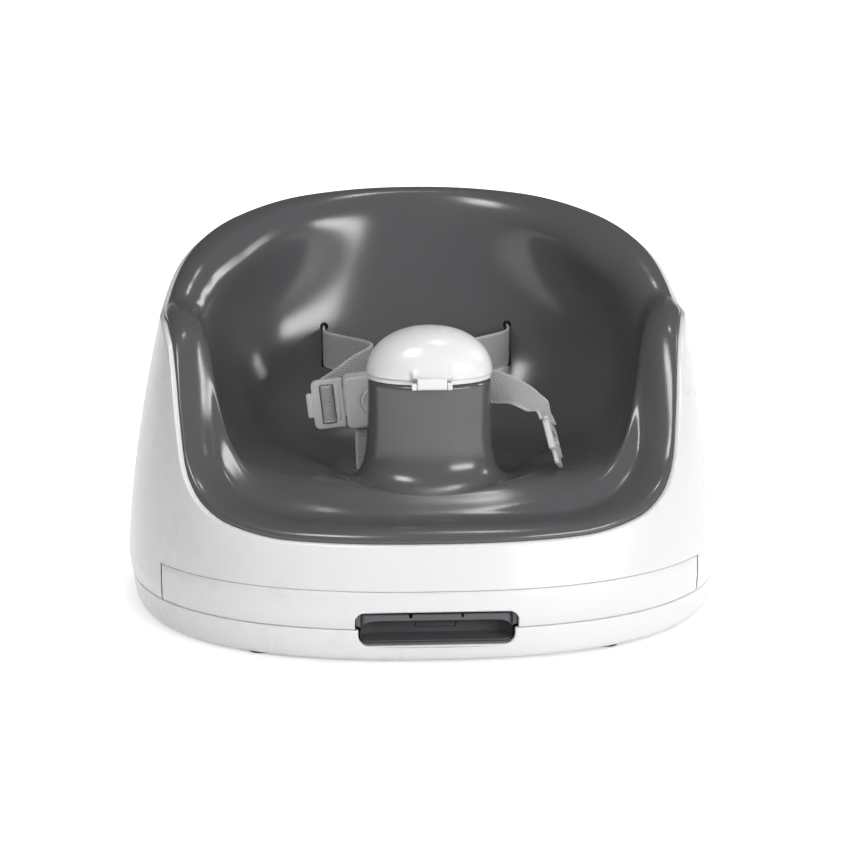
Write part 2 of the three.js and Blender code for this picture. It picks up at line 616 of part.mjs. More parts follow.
function trayBody() {
  const underWell = TRAY_WELL_Z - TRAY_WALL;
  const underRim = TRAY_TOP_Z - TRAY_WALL;
  const wellInset = TRAY_RIM + 7;
  const panTop = TRAY_TOP_Z - 0.3;
  const section = [
    [TRAY_WALL + wellInset, underWell], [TRAY_WALL + TRAY_RIM, underRim - 1], [TRAY_WALL, underRim],
    [TRAY_WALL, TRAY_SKID_Z], [0, TRAY_SKID_Z], [0, panTop - 1.5], [1.5, panTop],
    [TRAY_RIM - 1.5, panTop], [TRAY_RIM + 1, panTop - 2], [wellInset - 1.5, TRAY_WELL_Z + 2],
    [wellInset + 2, TRAY_WELL_Z],
  ];
  const rows = section.map(([inset, z]) => ring((angle) => trayPlan(angle, inset, z)));
  const middle = (z) => new THREE.Vector3(0, -50, z);
  const dished = (z, shares) => shares.map((share) => ring((angle) =>
    trayPlan(angle, wellInset + 2, z).lerp(middle(z), share).setZ(z - WELL_DISH * share * (2 - share))));
  const shares = [0.2, 0.4, 0.6, 0.8];
  let tray = solid(skin(
    [...dished(underWell, shares).reverse(), ...rows, ...dished(TRAY_WELL_Z, shares)],
    middle(underWell - WELL_DISH), middle(TRAY_WELL_Z - WELL_DISH)));

  // Front panel that carries on the line of the skirt, and the flange that holds it
  const panel = [SEAM_Z + GAP, 28, WIDEST_Z, 40, TRAY_TOP_Z];
  const reach = box([-TRAY_LIP_HALF_WIDTH, TRAY_LIP_HALF_WIDTH], [-BASE_DEPTH, -60], [0, 100]);
  const flange = [underRim - 0.2, panTop - 0.4];
  tray = tray
    .add(filledSkirt(0, panel).subtract(filledSkirt(SHELL_WALL, [0, ...panel, 60])).intersect(solid(reach)))
    .add(filledSkirt(1, flange).subtract(filledSkirt(TRAY_RIM + 14, [0, 60])).intersect(solid(reach)));

  for (const side of [-1, 1]) {
    const across = [side * (RAIL_X - 2), side * (RAIL_X + 2)].sort((a, b) => a - b);
    tray = tray.add(solid(box(across, [RAIL_Y[0] + 18, TRAY_BACK - 25], [TRAY_SKID_Z, underWell + 1])));
  }
  for (const [x, y] of HUB_SCREWS) {
    tray = tray.add(solid(rod(x, y, HUB_BOSS_RADIUS, [HUB_BOSS_Z, underWell + 1])))
      .subtract(solid(rod(x, y, SCREW_RADIUS + GAP, [0, underWell - 1], 12)));
  }
  const cupFloor = TRAY_WELL_Z - CUP_DEPTH;
  tray = tray
    .add(solid(rod(CUP_X, CUP_Y, CUP_RADIUS + TRAY_WALL, [cupFloor - TRAY_WALL, TRAY_WELL_Z - 0.5], 32)))
    .subtract(solid(rod(CUP_X, CUP_Y, CUP_RADIUS, [cupFloor, TRAY_WELL_Z + 1], 32)));
  return tray.subtract(fingerOpening());
}

function trayHub() {
  const top = TRAY_WELL_Z - TRAY_WALL - WELL_DISH - GAP;
  const length = HUB_BACK - HUB_FRONT;
  const inside = [2 - HUB_HALF_WIDTH, HUB_HALF_WIDTH - 2];
  let hub = solid(plate(2 * HUB_HALF_WIDTH, length, 6, [HUB_BOTTOM_Z, top]).translate(0, HUB_FRONT + length / 2, 0))
    .add(solid(box([-HUB_HALF_WIDTH, HUB_HALF_WIDTH], [HUB_FRONT + 3, HUB_FRONT + 8], [SEAM_Z, TRAY_TOP_Z - 6])))
    .subtract(solid(bar(HUB_FRONT + 2, SCOOP_Z[1] - SCOOP_RADIUS, SCOOP_RADIUS, inside))
      .intersect(solid(box(inside, [-200, 0], [SCOOP_Z[0], 60]))))
    .subtract(solid(oval(0, SOCKET_Y, PLUG_HALF_WIDTH + RUNNING_GAP, PLUG_HALF_DEPTH + RUNNING_GAP, [0, top - 2])))
    .subtract(solid(box([-SLIDER_HALF_WIDTH - RUNNING_GAP, SLIDER_HALF_WIDTH + RUNNING_GAP],
      [HUB_FRONT + 8, SOCKET_Y - PLUG_HALF_DEPTH + 1], [SLIDER_Z[0] - GAP, SLIDER_Z[1] + GAP])))
    .add(solid(box([-2, 2], SPRING_STOP_Y, [SLIDER_Z[0] + 0.6, SLIDER_Z[1] + 1])));
  for (const [x, y] of HUB_SCREWS) {
    hub = hub.subtract(solid(rod(x, y, HUB_BOSS_RADIUS + GAP, [HUB_BOSS_Z - GAP, top + 1])))
      .subtract(solid(rod(x, y, SCREW_RADIUS + GAP, [0, SEAM_Z], 12)))
      .subtract(solid(rod(x, y, SCREW_HEAD_RADIUS + GAP, [0, HUB_SCREW_Z + SCREW_HEAD_WALL + GAP], 16)));
  }
  return hub;
}

function traySlider() {
  const front = SOCKET_Y - PLUG_HALF_DEPTH - RUNNING_GAP;
  const window = [SPRING_STOP_Y[0] - 0.4, SPRING_END_Y + GAP];
  return solid(box([-SLIDER_HALF_WIDTH, SLIDER_HALF_WIDTH], [HUB_FRONT + 11, front - 3], SLIDER_Z))
    .add(solid(box([-5, 5], [front - 4, front + 3], SLIDER_Z)))
    .subtract(solid(box([-2.6, 2.6], window, [0, 60])));
}

// Insert

// A ring of the insert that follows the rim: how far in, and how far above it.
const rimRing = (insets, rises) => {
  const inset = smoothLine(insets.map((v, i) => [RING_ANGLES[i], v]));
  const rise = smoothLine(rises.map((v, i) => [RING_ANGLES[i], v]));
  return (angle) =>
    skirt(angle, rim(angle), inset(folded(angle))).setZ(rim(angle) + rise(folded(angle)));
};

// A ring of the insert with a plan of its own and heights round it.
const ownRing = (halfWidth, front, back, centreY, power, heights) => {
  const height = smoothLine(heights.map((v, i) => [RING_ANGLES[i], v]));
  return (angle) =>
    planPoint(angle, halfWidth, centreY - front, back - centreY, centreY, power, height(folded(angle)));
};

const EDGE = LIP_WALL + GAP;
const pommelRing = (halfWidth, halfDepth, heights) =>
  ownRing(halfWidth, POMMEL_Y - halfDepth, POMMEL_Y + halfDepth, POMMEL_Y, 2.1, heights);
const level = (z) => RING_ANGLES.map(() => z);

// From the insert's edge over the roll, down the wall, across the seat and up the pommel
const seatRings = [
  (angle) => skirt(angle, rim(angle), EDGE).setZ(rim(angle) - LIP_DEPTH + GAP),
  rimRing([EDGE, EDGE, EDGE, EDGE, EDGE, EDGE], [2, 2, 2, 2, 1.5, 1.5]),
  rimRing([5.4, 5.4, 5.4, 5.4, 5.2, 4.8], [5, 4.6, 4, 4, 3.6, 3.2]),
  rimRing([10, 11, 10, 9, 12, 9], [8, 6.2, ROLL_RISE + 1, ROLL_RISE + 1, ROLL_RISE, ROLL_RISE - 0.6]),
  rimRing([17, 19, 18, 17, 23, 14], [8.6, 6.6, 5, 4.5, 2.5, 2]),
  rimRing([24, 27, 26, 25, 33, 20], [9.6, 7, -3, -7, -14, -12]),
  ownRing(137, -126, 101, 0, 2.5, [83.5, 92, 124, 142, 168, 168]),
  ownRing(120, -121, 77, -8, 2.6, [87, 95, 102, 106, 112, 112]),
  ownRing(94, -117, 44, -25, 2.6, [90, 97.5, 98, 97, SEAT_FLOOR_Z + 5, SEAT_FLOOR_Z + 2]),
  ownRing(68, -115.8, 0, -50, 2.3, [91, 97.5, 97, 95, SEAT_FLOOR_Z + 3, SEAT_FLOOR_Z]),
  pommelRing(49, 36.5, [94, 96.5, 95, 93.5, 90.5, 89]),
  pommelRing(43, 30, [99, 101, 100, 99, 97, 96]),
  pommelRing(40, 26.8, [108, 109, 109, 108, 107, 107]),
  pommelRing(38.6, 25.2, level(125)),
  pommelRing(POMMEL_HALF_WIDTH, POMMEL_HALF_DEPTH, level(POMMEL_TOP_Z - 1)),
  pommelRing(POMMEL_HALF_WIDTH - 1, POMMEL_HALF_DEPTH - 1, level(POMMEL_TOP_Z)),
];

function seatInsert() {
  const upper = seatRings.map((at) => ring(at)).reverse();
  const under = BOWL_STEPS.map((t) => ring((angle) => besideBowl(angle, t, GAP)));
  let seat = solid(skin([...upper, ...under], new THREE.Vector3(0, POMMEL_Y, POMMEL_TOP_Z),
    new THREE.Vector3(0, BOWL_MIDDLE_Y, BOWL_FLOOR_Z + GAP)));
  seat = seat
    .subtract(solid(oval(0, POMMEL_Y, CORE_HALF_WIDTH + GAP, CORE_HALF_DEPTH + GAP, [0, 300])))
    .subtract(solid(oval(0, POMMEL_Y, CORE_PLATE_HALF_WIDTH + GAP, CORE_PLATE_HALF_DEPTH + GAP,
      [0, CORE_PLATE_Z + CORE_PLATE_WALL + GAP])));
  const slot = SLOT_WIDTH / 2;
  for (const side of [-1, 1]) {
    const x = side * SLOT_X;
    seat = seat
      .subtract(solid(box([x - slot, x + slot], [SLOT_Y - 30, ANCHOR_Y + 1],
        [SLOT_Z - SLOT_HEIGHT / 2, SLOT_Z + SLOT_HEIGHT / 2])))
      .subtract(solid(box([x - ANCHOR_HALF - GAP, x + ANCHOR_HALF + GAP], [ANCHOR_Y, BASE_DEPTH / 2],
        [SLOT_Z - SLOT_HEIGHT / 2 - 2 - GAP, SLOT_Z + SLOT_HEIGHT / 2 + 2 + GAP])));
  }
  const across = [CROTCH_X - SLOT_HEIGHT / 2, CROTCH_X + SLOT_HEIGHT / 2];
  return seat
    .subtract(solid(box(across, [CROTCH_Y - slot, CROTCH_Y + slot], [CROTCH_ANCHOR_Z, SEAT_FLOOR_Z + 30])))
    .subtract(solid(box([across[0] - 3 - GAP, across[1] + 3 + GAP],
      [CROTCH_Y - ANCHOR_HALF - GAP, CROTCH_Y + ANCHOR_HALF + GAP], [0, CROTCH_ANCHOR_Z + GAP])));
}

function pommelCore() {
  let core = solid(oval(0, POMMEL_Y, CORE_HALF_WIDTH, CORE_HALF_DEPTH, [CORE_PLATE_Z, POMMEL_TOP_Z]))
    .add(solid(oval(0, POMMEL_Y, CORE_PLATE_HALF_WIDTH, CORE_PLATE_HALF_DEPTH,
      [CORE_PLATE_Z, CORE_PLATE_Z + CORE_PLATE_WALL])));
  for (const side of [-1, 1]) {
    core = core.subtract(solid(rod(side * PLUG_SCREW_X, POMMEL_Y, SCREW_RADIUS + GAP, [140, 200], 12)));
  }
  return core.subtract(solid(oval(0, POMMEL_Y, CORE_HALF_WIDTH - 9, CORE_HALF_DEPTH - 4, [0, 150])));
}

// Collar with the plug that the tray clips to, and the ears of the lid's hinge
function trayPlug() {
  const collar = [POMMEL_TOP_Z + GAP, POMMEL_TOP_Z + GAP + COLLAR_WALL];
  const earFront = HINGE_Y - KNUCKLE_RADIUS - 0.4;
  const room = KNUCKLE_HALF_WIDTH + GAP;
  let collarBody = solid(oval(0, POMMEL_Y, POMMEL_HALF_WIDTH, POMMEL_HALF_DEPTH, collar, 40))
    .add(solid(bar(HINGE_Y, HINGE_Z, KNUCKLE_RADIUS, [-HINGE_HALF_WIDTH, HINGE_HALF_WIDTH])))
    .add(solid(box([-HINGE_HALF_WIDTH, HINGE_HALF_WIDTH], [HINGE_Y, POMMEL_Y - POMMEL_HALF_DEPTH + 4], collar)))
    .add(solid(box([-HINGE_HALF_WIDTH, HINGE_HALF_WIDTH], [HINGE_Y, POMMEL_Y - POMMEL_HALF_DEPTH - GAP],
      [HINGE_Z - KNUCKLE_RADIUS, collar[1]])))
    .subtract(solid(box([-room, room], [earFront - 1, HINGE_Y + KNUCKLE_RADIUS + 0.8], [0, 300])))
    .subtract(solid(bar(HINGE_Y, HINGE_Z, HINGE_PIN_RADIUS + GAP, [-30, 30], 12)))
    .add(solid(oval(0, POMMEL_Y, PLUG_HALF_WIDTH, PLUG_HALF_DEPTH, [collar[0], collar[1] + PLUG_HEIGHT], 28)))
    .subtract(solid(box([-6, 6], [POMMEL_Y - PLUG_HALF_DEPTH - 2, POMMEL_Y - PLUG_HALF_DEPTH + 2.5],
      [collar[1] + 9, collar[1] + 14])));
  for (const side of [-1, 1]) {
    collarBody = collarBody.subtract(solid(rod(side * PLUG_SCREW_X, POMMEL_Y, SCREW_RADIUS + GAP, [0, 300], 12)));
  }
  return collarBody;
}

// A dome ring; share runs from the rim (0) to the top (1).
function domeRing(grow, share) {
  const turn = (share * Math.PI) / 2;
  const spread = Math.cos(turn) ** (2 / DOME_POWER);
  const z = LID_BASE_Z + (LID_HEIGHT + grow) * Math.sin(turn) ** (2 / DOME_POWER);
  const [halfWidth, halfDepth] = [(LID_HALF_WIDTH + grow) * spread, (LID_HALF_DEPTH + grow) * spread];
  return Array.from({ length: LID_COLUMNS }, (_, i) =>
    planPoint((360 * i) / LID_COLUMNS, halfWidth, halfDepth, halfDepth, POMMEL_Y, 2.1, z));
}

function filledDome(grow) {
  const apex = new THREE.Vector3(0, POMMEL_Y, LID_BASE_Z + LID_HEIGHT + grow);
  const rows = [0, 0.14, 0.28, 0.42, 0.56, 0.7, 0.85].map((share) => domeRing(grow, share));
  return solid(skin(rows, new THREE.Vector3(0, POMMEL_Y, LID_BASE_Z), apex));
}

function pommelLid() {
  const knuckle = [-KNUCKLE_HALF_WIDTH, KNUCKLE_HALF_WIDTH];
  const raised = filledDome(RAISED);
  const strip = raised.intersect(solid(box([-HINGE_HALF_WIDTH, HINGE_HALF_WIDTH],
    [-200, POMMEL_Y - 12], [LID_BASE_Z, LID_BASE_Z + 14])));
  const thumbPad = raised.intersect(solid(box([-THUMB_HALF_WIDTH, THUMB_HALF_WIDTH],
    [POMMEL_Y + 4, 0], [LID_BASE_Z + 8, LID_BASE_Z + 40])));
  return filledDome(0)
    .add(strip)
    .add(thumbPad)
    .subtract(solid(bar(HINGE_Y, HINGE_Z, KNUCKLE_RADIUS + GAP, [-HINGE_HALF_WIDTH - 1, HINGE_HALF_WIDTH + 1])))
    .add(solid(bar(HINGE_Y, HINGE_Z, KNUCKLE_RADIUS, knuckle)))
    .add(solid(box(knuckle, [HINGE_Y - KNUCKLE_RADIUS, HINGE_Y + KNUCKLE_RADIUS + 0.3], [HINGE_Z, LID_BASE_Z + 2.5])))
    .subtract(filledDome(-LID_WALL))
    .subtract(solid(bar(HINGE_Y, HINGE_Z, HINGE_PIN_RADIUS + GAP, [-30, 30], 12)));
}

// Harness

// A tongue plate: blade to the right, its buckle's middle at the origin.
function tongue() {
  const edge = -BUCKLE_WIDTH / 2 - 0.6;
  const middle = edge - TONGUE_WIDTH / 2;
  const half = TONGUE_WALL / 2;
  return solid(plateY(TONGUE_WIDTH, TONGUE_HEIGHT, 4, [-half, half], 0.8).translate(middle, 0, 0))
    .add(solid(plateY(BLADE_LENGTH + 6, BLADE_HEIGHT, 2.5, [-BLADE_WALL / 2, BLADE_WALL / 2])
      .translate(edge + (BLADE_LENGTH - 6) / 2, 0, 0)))
    .subtract(solid(plateY(TONGUE_WIDTH * 0.3, TONGUE_HEIGHT - 6, 1, [-10, 10]).translate(middle - 4, 0, 0)));
}

const tongueSlots = (body) => [-1, 1].reduce((left, side) =>
  left.subtract(solid(box([side * 25, side * (BUTTON_RADIUS + 1.5)].sort((a, b) => a - b),
    [-BLADE_WALL / 2 - GAP, BLADE_WALL / 2 + GAP], [-BLADE_HEIGHT / 2 - 0.6, BLADE_HEIGHT / 2 + 0.6]))), body);

const SHOULDER_Y = -4; // inside the buckle's front, where the button's flange rests
const buckleHalf = BUCKLE_THICKNESS / 2;

const buckleFront = () => tongueSlots(
  solid(plateY(BUCKLE_WIDTH, BUCKLE_HEIGHT, 8, [-buckleHalf, -GAP / 2], 1.2))
    .subtract(solid(plug(0, 0, BUTTON_RADIUS + GAP, [-20, 1], 32)))
    .subtract(solid(plug(0, 0, BUTTON_RADIUS + BUTTON_FLANGE + GAP, [SHOULDER_Y, 1], 32))));

const buckleBack = () => tongueSlots(
  solid(plateY(BUCKLE_WIDTH, BUCKLE_HEIGHT, 8, [GAP / 2, buckleHalf], 1.2))
    .subtract(solid(plug(0, 0, 5, [-1, buckleHalf - 2.5]))));

const buckleButton = () => {
  const flange = [SHOULDER_Y + GAP, SHOULDER_Y + GAP + BUTTON_FLANGE];
  return solid(plug(0, 0, BUTTON_RADIUS, [-buckleHalf - BUTTON_TRAVEL + 0.2, flange[1]], 32))
    .add(solid(plug(0, 0, BUTTON_RADIUS + BUTTON_FLANGE, flange, 32)));
};

const UP = [0, 0, 1];
const leftPath = [
  [[-SLOT_X, ANCHOR_Y, SLOT_Z], UP], [[-SLOT_X, SLOT_Y - 4, SLOT_Z], UP], [[-60, 66, 144], UP],
  [[-48, 44, 145.5], [0, 0.1, 1]], [[-37, 17, 148.5], [0, 0.1, 1]], [[-32, 3.5, 149], [-0.08, 0.05, 1]],
  [[-34.3, -6.5, 148.3], [-0.22, 0, 0.98]], [[-40, -14, 146.6], [-0.4, 0, 0.92]],
  [[-47, -20.3, 142.8], [-0.5, 0, 0.86]], [[-54, -24.3, 138.6], [-0.46, 0, 0.88]],
  [[-60.5, -27, 135.2], [-0.35, 0, 0.93]], [[-65, -29.6, 133.2], [-0.15, 0, 0.99]],
];
const rightPath = [
  [[SLOT_X, ANCHOR_Y, SLOT_Z], UP], [[SLOT_X, SLOT_Y - 4, SLOT_Z], UP], [[57.5, 64, 144], UP],
  [[34, 36, 144.5], [0, 0.1, 1]], [[14, 8, 145], [0, 0.2, 1]], [[7, -8, 144.5], [0, 0.2, 1]],
  [[14, -24, 143.8], [0.1, 0.3, 0.93]], [[28, -36.5, 143.2], [0.3, 0.5, 0.8]],
  [[44.5, -48.1, 142.8], [0.72, 0.4, 0.58]], [[56.3, -56.3, 141], [0.72, 0.64, 0.27]],
  [[63.5, -62.3, 138], [0.7, 0.72, 0.09]], [[68.4, -65.4, 135.2], [0.6, 0.79, 0.05]],
  [[72.3, -68.5, 131.3], [0.5, 0.78, -0.39]],
  [HANG_FROM, [0.43, 0.86, -0.27]],
];
const crotchPath = [
  [[CROTCH_X, CROTCH_Y, CROTCH_ANCHOR_Z + GAP], [1, 0, 0]], [[CROTCH_X, CROTCH_Y, 92], [1, 0, 0]],
  [[CROTCH_X - 0.4, CROTCH_Y + 0.4, 105], [1, 0, 0]], [[CROTCH_X - 0.2, BUCKLE_Y, BUCKLE_Z - 18], [1, 0, 0.1]],
];

// Chair straps

function beltPath({ y, reach }, side) {
  const z = BELT_CEILING_Z - GAP - WEBBING_WALL / 2;
  const at = (x, height) => [[side * x, y, height], [0, 1, 0]];
  return [at(BELT_BUCKLE_LENGTH + GAP, z), at(BELT_BUCKLE_LENGTH + 12, z), at(reach - 26, z),
    at(reach - 12, z + 0.1), at(reach - 6, z + 2), at(reach - 4.3, z + 6), at(reach - 4, z + 12)];
}

const beltSocket = () =>
  solid(plate(BELT_BUCKLE_LENGTH - GAP, BELT_BUCKLE_WIDTH, 5, BELT_BUCKLE_Z, 1)
    .translate(-(BELT_BUCKLE_LENGTH + GAP) / 2, 0, 0))
    .subtract(solid(box([-BELT_BUCKLE_LENGTH + 7, 1], [-13, 13], [BELT_BUCKLE_Z[0] + 2.4, BELT_BUCKLE_Z[1] - 2.4])));

const beltPlug = () =>
  solid(plate(BELT_BUCKLE_LENGTH - GAP, BELT_BUCKLE_WIDTH, 5, BELT_BUCKLE_Z, 1)
    .translate((BELT_BUCKLE_LENGTH + GAP) / 2, 0, 0))
    .add(solid(box([-BELT_BUCKLE_LENGTH + 9, 6], [-12, -7], [BELT_BUCKLE_Z[0] + 2.8, BELT_BUCKLE_Z[1] - 2.8])))
    .add(solid(box([-BELT_BUCKLE_LENGTH + 9, 6], [7, 12], [BELT_BUCKLE_Z[0] + 2.8, BELT_BUCKLE_Z[1] - 2.8])));

// The assembly

const sideName = (side) => (side < 0 ? "left" : "right");

place("base_shell", geometryOf(baseShell()), paint.white);
place("base_floor", geometryOf(baseFloor()), paint.white);
feetPlaces.forEach(([x, y]) => {
  const name = `foot_${y < 0 ? "front" : "rear"}_${sideName(x)}`;
  place(name, geometryOf(solid(footPlan(0, [0, FLOOR_Z + FOOT_POCKET - GAP], 0.8))), paint.rubber)
    .position.set(x, y, 0);
});
BASE_SCREWS.forEach(([x, y], i) => {
  place(`base_screw_${i + 1}`, screw(BASE_SCREW_LENGTH), paint.steel).position.set(x, y, SCREW_HEAD_Z);
});

place("tray_body", geometryOf(trayBody()), paint.white);
place("tray_hub", geometryOf(trayHub()), paint.grey);
place("tray_release_slider", geometryOf(traySlider()), paint.grey);
place("tray_release_spring", spring(1.25, 0.3, 5, [SPRING_STOP_Y[1] + GAP, SPRING_END_Y]), paint.steel)
  .position.set(0, 0, (SLIDER_Z[0] + SLIDER_Z[1]) / 2);
HUB_SCREWS.forEach(([x, y], i) => {
  place(`hub_screw_${i + 1}`, screw(HUB_SCREW_LENGTH), paint.steel).position.set(x, y, HUB_SCREW_Z);
});

place("seat_insert", geometryOf(seatInsert()), paint.foam);
place("pommel_core", geometryOf(pommelCore()), paint.core);
place("tray_plug", geometryOf(trayPlug()), paint.white);
place("pommel_lid", geometryOf(pommelLid()), paint.lid);
place("lid_hinge_pin", bar(HINGE_Y, HINGE_Z, HINGE_PIN_RADIUS, [0.3 - HINGE_HALF_WIDTH, HINGE_HALF_WIDTH - 0.3], 12),
  paint.steel);
[-1, 1].forEach((side) => {
  const mesh = place(`plug_screw_${sideName(side)}`, screw(PLUG_SCREW_LENGTH), paint.steel);
  mesh.position.set(side * PLUG_SCREW_X, POMMEL_Y, POMMEL_TOP_Z + 2 * GAP + COLLAR_WALL + SCREW_HEAD_WALL);
  mesh.rotation.x = Math.PI;
});

place("waist_strap_left", ribbon(leftPath, WEBBING_WIDTH, WEBBING_WALL, 40), paint.webbing);
place("waist_strap_right", ribbon(rightPath, WEBBING_WIDTH, WEBBING_WALL, 48), paint.webbing);
place("crotch_strap", ribbon(crotchPath, WEBBING_WIDTH, WEBBING_WALL, 10), paint.webbing);
[-1, 1].forEach((side) => {
  place(`strap_anchor_${sideName(side)}`,
    plateY(2 * ANCHOR_HALF, SLOT_HEIGHT + 4, 2, [ANCHOR_Y + GAP, ANCHOR_Y + GAP + ANCHOR_WALL]), paint.core)
    .position.set(side * SLOT_X, 0, SLOT_Z);
});
place("crotch_anchor", plate(SLOT_HEIGHT + 6, 2 * ANCHOR_HALF, 2,
  [CROTCH_ANCHOR_Z - ANCHOR_WALL, CROTCH_ANCHOR_Z]), paint.core).position.set(CROTCH_X, CROTCH_Y, 0);

const buckle = new THREE.Group();
buckle.position.set(BUCKLE_X, BUCKLE_Y, BUCKLE_Z);
buckle.rotation.y = THREE.MathUtils.degToRad(-BUCKLE_LEAN);
booster.add(buckle);
place("buckle_front", geometryOf(buckleFront()), paint.buckle, buckle);
place("buckle_back", geometryOf(buckleBack()), paint.buckle, buckle);
place("buckle_button", geometryOf(buckleButton()), paint.buckle, buckle);
place("buckle_spring", spring(3.4, 0.45, 5, [SHOULDER_Y + 2 * GAP + BUTTON_FLANGE, buckleHalf - 2.5 - GAP]),
  paint.steel, buckle);
place("tongue_left", geometryOf(tongue()), paint.buckle, buckle);

// The free tongue hangs from the right strap with its blade down, edge on to the front.
const hanging = new THREE.Vector3(...HANG_DIRECTION).normalize();
const across = new THREE.Vector3().crossVectors(hanging, new THREE.Vector3(0.95, -0.13, 0.3)).normalize();
const tongueRight = place("tongue_right", geometryOf(tongue()), paint.buckle);
tongueRight.quaternion.setFromRotationMatrix(
  new THREE.Matrix4().makeBasis(hanging, new THREE.Vector3().crossVectors(across, hanging), across));
tongueRight.position.set(...HANG_FROM).addScaledVector(hanging, BUCKLE_WIDTH / 2 + 0.6 + TONGUE_WIDTH + HANG_GAP);

BELTS.forEach((belt) => {
  [-1, 1].forEach((side) => {
    place(`${belt.name}_strap_${sideName(side)}`,
      ribbon(beltPath(belt, side), WEBBING_WIDTH, WEBBING_WALL, 24), paint.webbing);
  });
  place(`${belt.name}_socket`, geometryOf(beltSocket()), paint.grey).position.set(0, belt.y, 0);
  place(`${belt.name}_plug`, geometryOf(beltPlug()), paint.grey).position.set(0, belt.y, 0);
});

export default booster;
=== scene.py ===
"""Looks of a chair booster seat: moulded base with a stowed tray, foam seat, pommel and harness.

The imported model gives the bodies, joints and sizes. Each class here builds one sub-assembly in
millimetres in the model's own frame, and the mesh helper turns that into metres.
"""

import logging
import math
from collections.abc import Callable, Sequence
from dataclasses import dataclass
from enum import Enum

import bmesh
import bpy
import numpy as np
from mathutils import Matrix, Vector


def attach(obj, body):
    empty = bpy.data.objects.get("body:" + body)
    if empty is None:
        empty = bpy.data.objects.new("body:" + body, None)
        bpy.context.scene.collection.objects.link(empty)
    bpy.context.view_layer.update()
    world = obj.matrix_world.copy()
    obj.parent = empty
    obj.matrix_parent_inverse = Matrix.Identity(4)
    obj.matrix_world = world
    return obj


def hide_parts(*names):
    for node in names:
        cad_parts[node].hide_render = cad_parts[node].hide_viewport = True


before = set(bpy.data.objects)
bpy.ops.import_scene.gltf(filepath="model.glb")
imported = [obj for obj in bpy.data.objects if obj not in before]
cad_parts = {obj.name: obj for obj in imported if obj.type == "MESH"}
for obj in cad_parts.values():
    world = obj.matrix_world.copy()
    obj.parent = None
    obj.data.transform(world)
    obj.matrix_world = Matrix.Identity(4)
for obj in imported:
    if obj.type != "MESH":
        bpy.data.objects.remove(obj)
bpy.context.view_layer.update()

LOG = logging.getLogger("booster")
MM = 0.001
# Angle in degrees from which an edge is shaded sharp
SHARP = 34
# Least radius of a corner, and least flat left between two rounded edges
LEAST = 0.01
# Clearance between neighbouring parts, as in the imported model
GAP = 0.35

Points = np.ndarray
Line = Callable[[Points], Points]
Piece = bpy.types.Object
Socket = bpy.types.NodeSocket
NodeTree = bpy.types.NodeTree


class Body(str, Enum):
    """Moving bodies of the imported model."""

    BASE = "base"
    TRAY = "tray"
    RELEASE = "tray_release"
    SEAT = "seat"
    LID = "lid"
    BUTTON = "button"


class Slot(str, Enum):
    """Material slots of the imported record."""

    WHITE = "white_plastic"
    LID = "white_lid"
    FOAM = "foam"
    GREY = "grey_plastic"
    FOOT = "foot_rubber"
    WEBBING = "webbing"
    BUCKLE = "buckle_plastic"
    INNER = "inner_plastic"
    STEEL = "steel"


class Cut(str, Enum):
    """Boolean operations used on the meshes."""

    AWAY = "DIFFERENCE"
    JOIN = "UNION"
    WITHIN = "INTERSECT"


class Axis(int, Enum):
    """Directions that a plate's thickness can lie along."""

    X = 0
    Y = 1
    Z = 2

    def ring(self, u: Points, v: Points, level: float) -> Points:
        """Stand a flat outline up across this axis.

        Args:
            u: Places along the outline's first direction.
            v: Places along its second direction.
            level: Its place along the axis.

        Returns:
            The outline's points.
        """
        flat = np.full(len(u), level)
        order = {Axis.X: (flat, u, v), Axis.Y: (u, flat, v), Axis.Z: (u, v, flat)}[self]
        return np.stack(order, axis=-1)


# Curves and points


def smooth_line(stations: Sequence[tuple[float, float]]) -> Line:
    """Make a smooth line through stations, level at both ends and without overshoot.

    Args:
        stations: Pairs of place and value, in rising order of place.

    Returns:
        A function that gives the value at each place.
    """
    places = np.array([station[0] for station in stations], float)
    values = np.array([station[1] for station in stations], float)
    secants = np.diff(values) / np.diff(places)
    before, after = secants[:-1], secants[1:]
    rising = before * after > 0
    slopes = np.zeros(len(places))
    slopes[1:-1][rising] = 2 * before[rising] * after[rising] / (before + after)[rising]

    def at(place: Points) -> Points:
        """Give the line's value.

        Args:
            place: The place or places.

        Returns:
            The value at each place.
        """
        place = np.asarray(place, float)
        i = np.clip(np.searchsorted(places, place, side="left") - 1, 0, len(places) - 2)
        span = places[i + 1] - places[i]
        t = np.clip((place - places[i]) / span, 0, 1)
        return (
            (2 * t**3 - 3 * t**2 + 1) * values[i]
            + (t**3 - 2 * t**2 + t) * span * slopes[i]
            + (3 * t**2 - 2 * t**3) * values[i + 1]
            + (t**3 - t**2) * span * slopes[i + 1]
        )

    return at


def folded(angle: Points) -> Points:
    """Fold angles in degrees onto the right half, from 0 at the front to 180 at the back."""
    return np.abs(((np.asarray(angle, float) % 360) + 540) % 360 - 180)


def plan_point(
    angle: Points,
    half_width: Points,
    front: Points,
    back: Points,
    centre_y: float,
    power: float,
    z: Points,
) -> Points:
    """Give superellipse points seen from above; front and back have their own reach.

    Args:
        angle: Angles in degrees, 0 at the front and 90 at the right.
        half_width: Reach along X.
        front: Reach towards the front.
        back: Reach towards the back.
        centre_y: Place of the middle along Y.
        power: Squareness of the outline.
        z: Height of the points.

    Returns:
        One point for each angle.
    """
    turn = np.radians(angle)
    s, c = np.sin(turn), np.cos(turn)
    reach = np.where(c > 0, front, back)
    x = np.sign(s) * half_width * np.abs(s) ** (2 / power)
    y = centre_y - np.sign(c) * reach * np.abs(c) ** (2 / power)
    return np.stack(np.broadcast_arrays(x, y, z), axis=-1).astype(float)


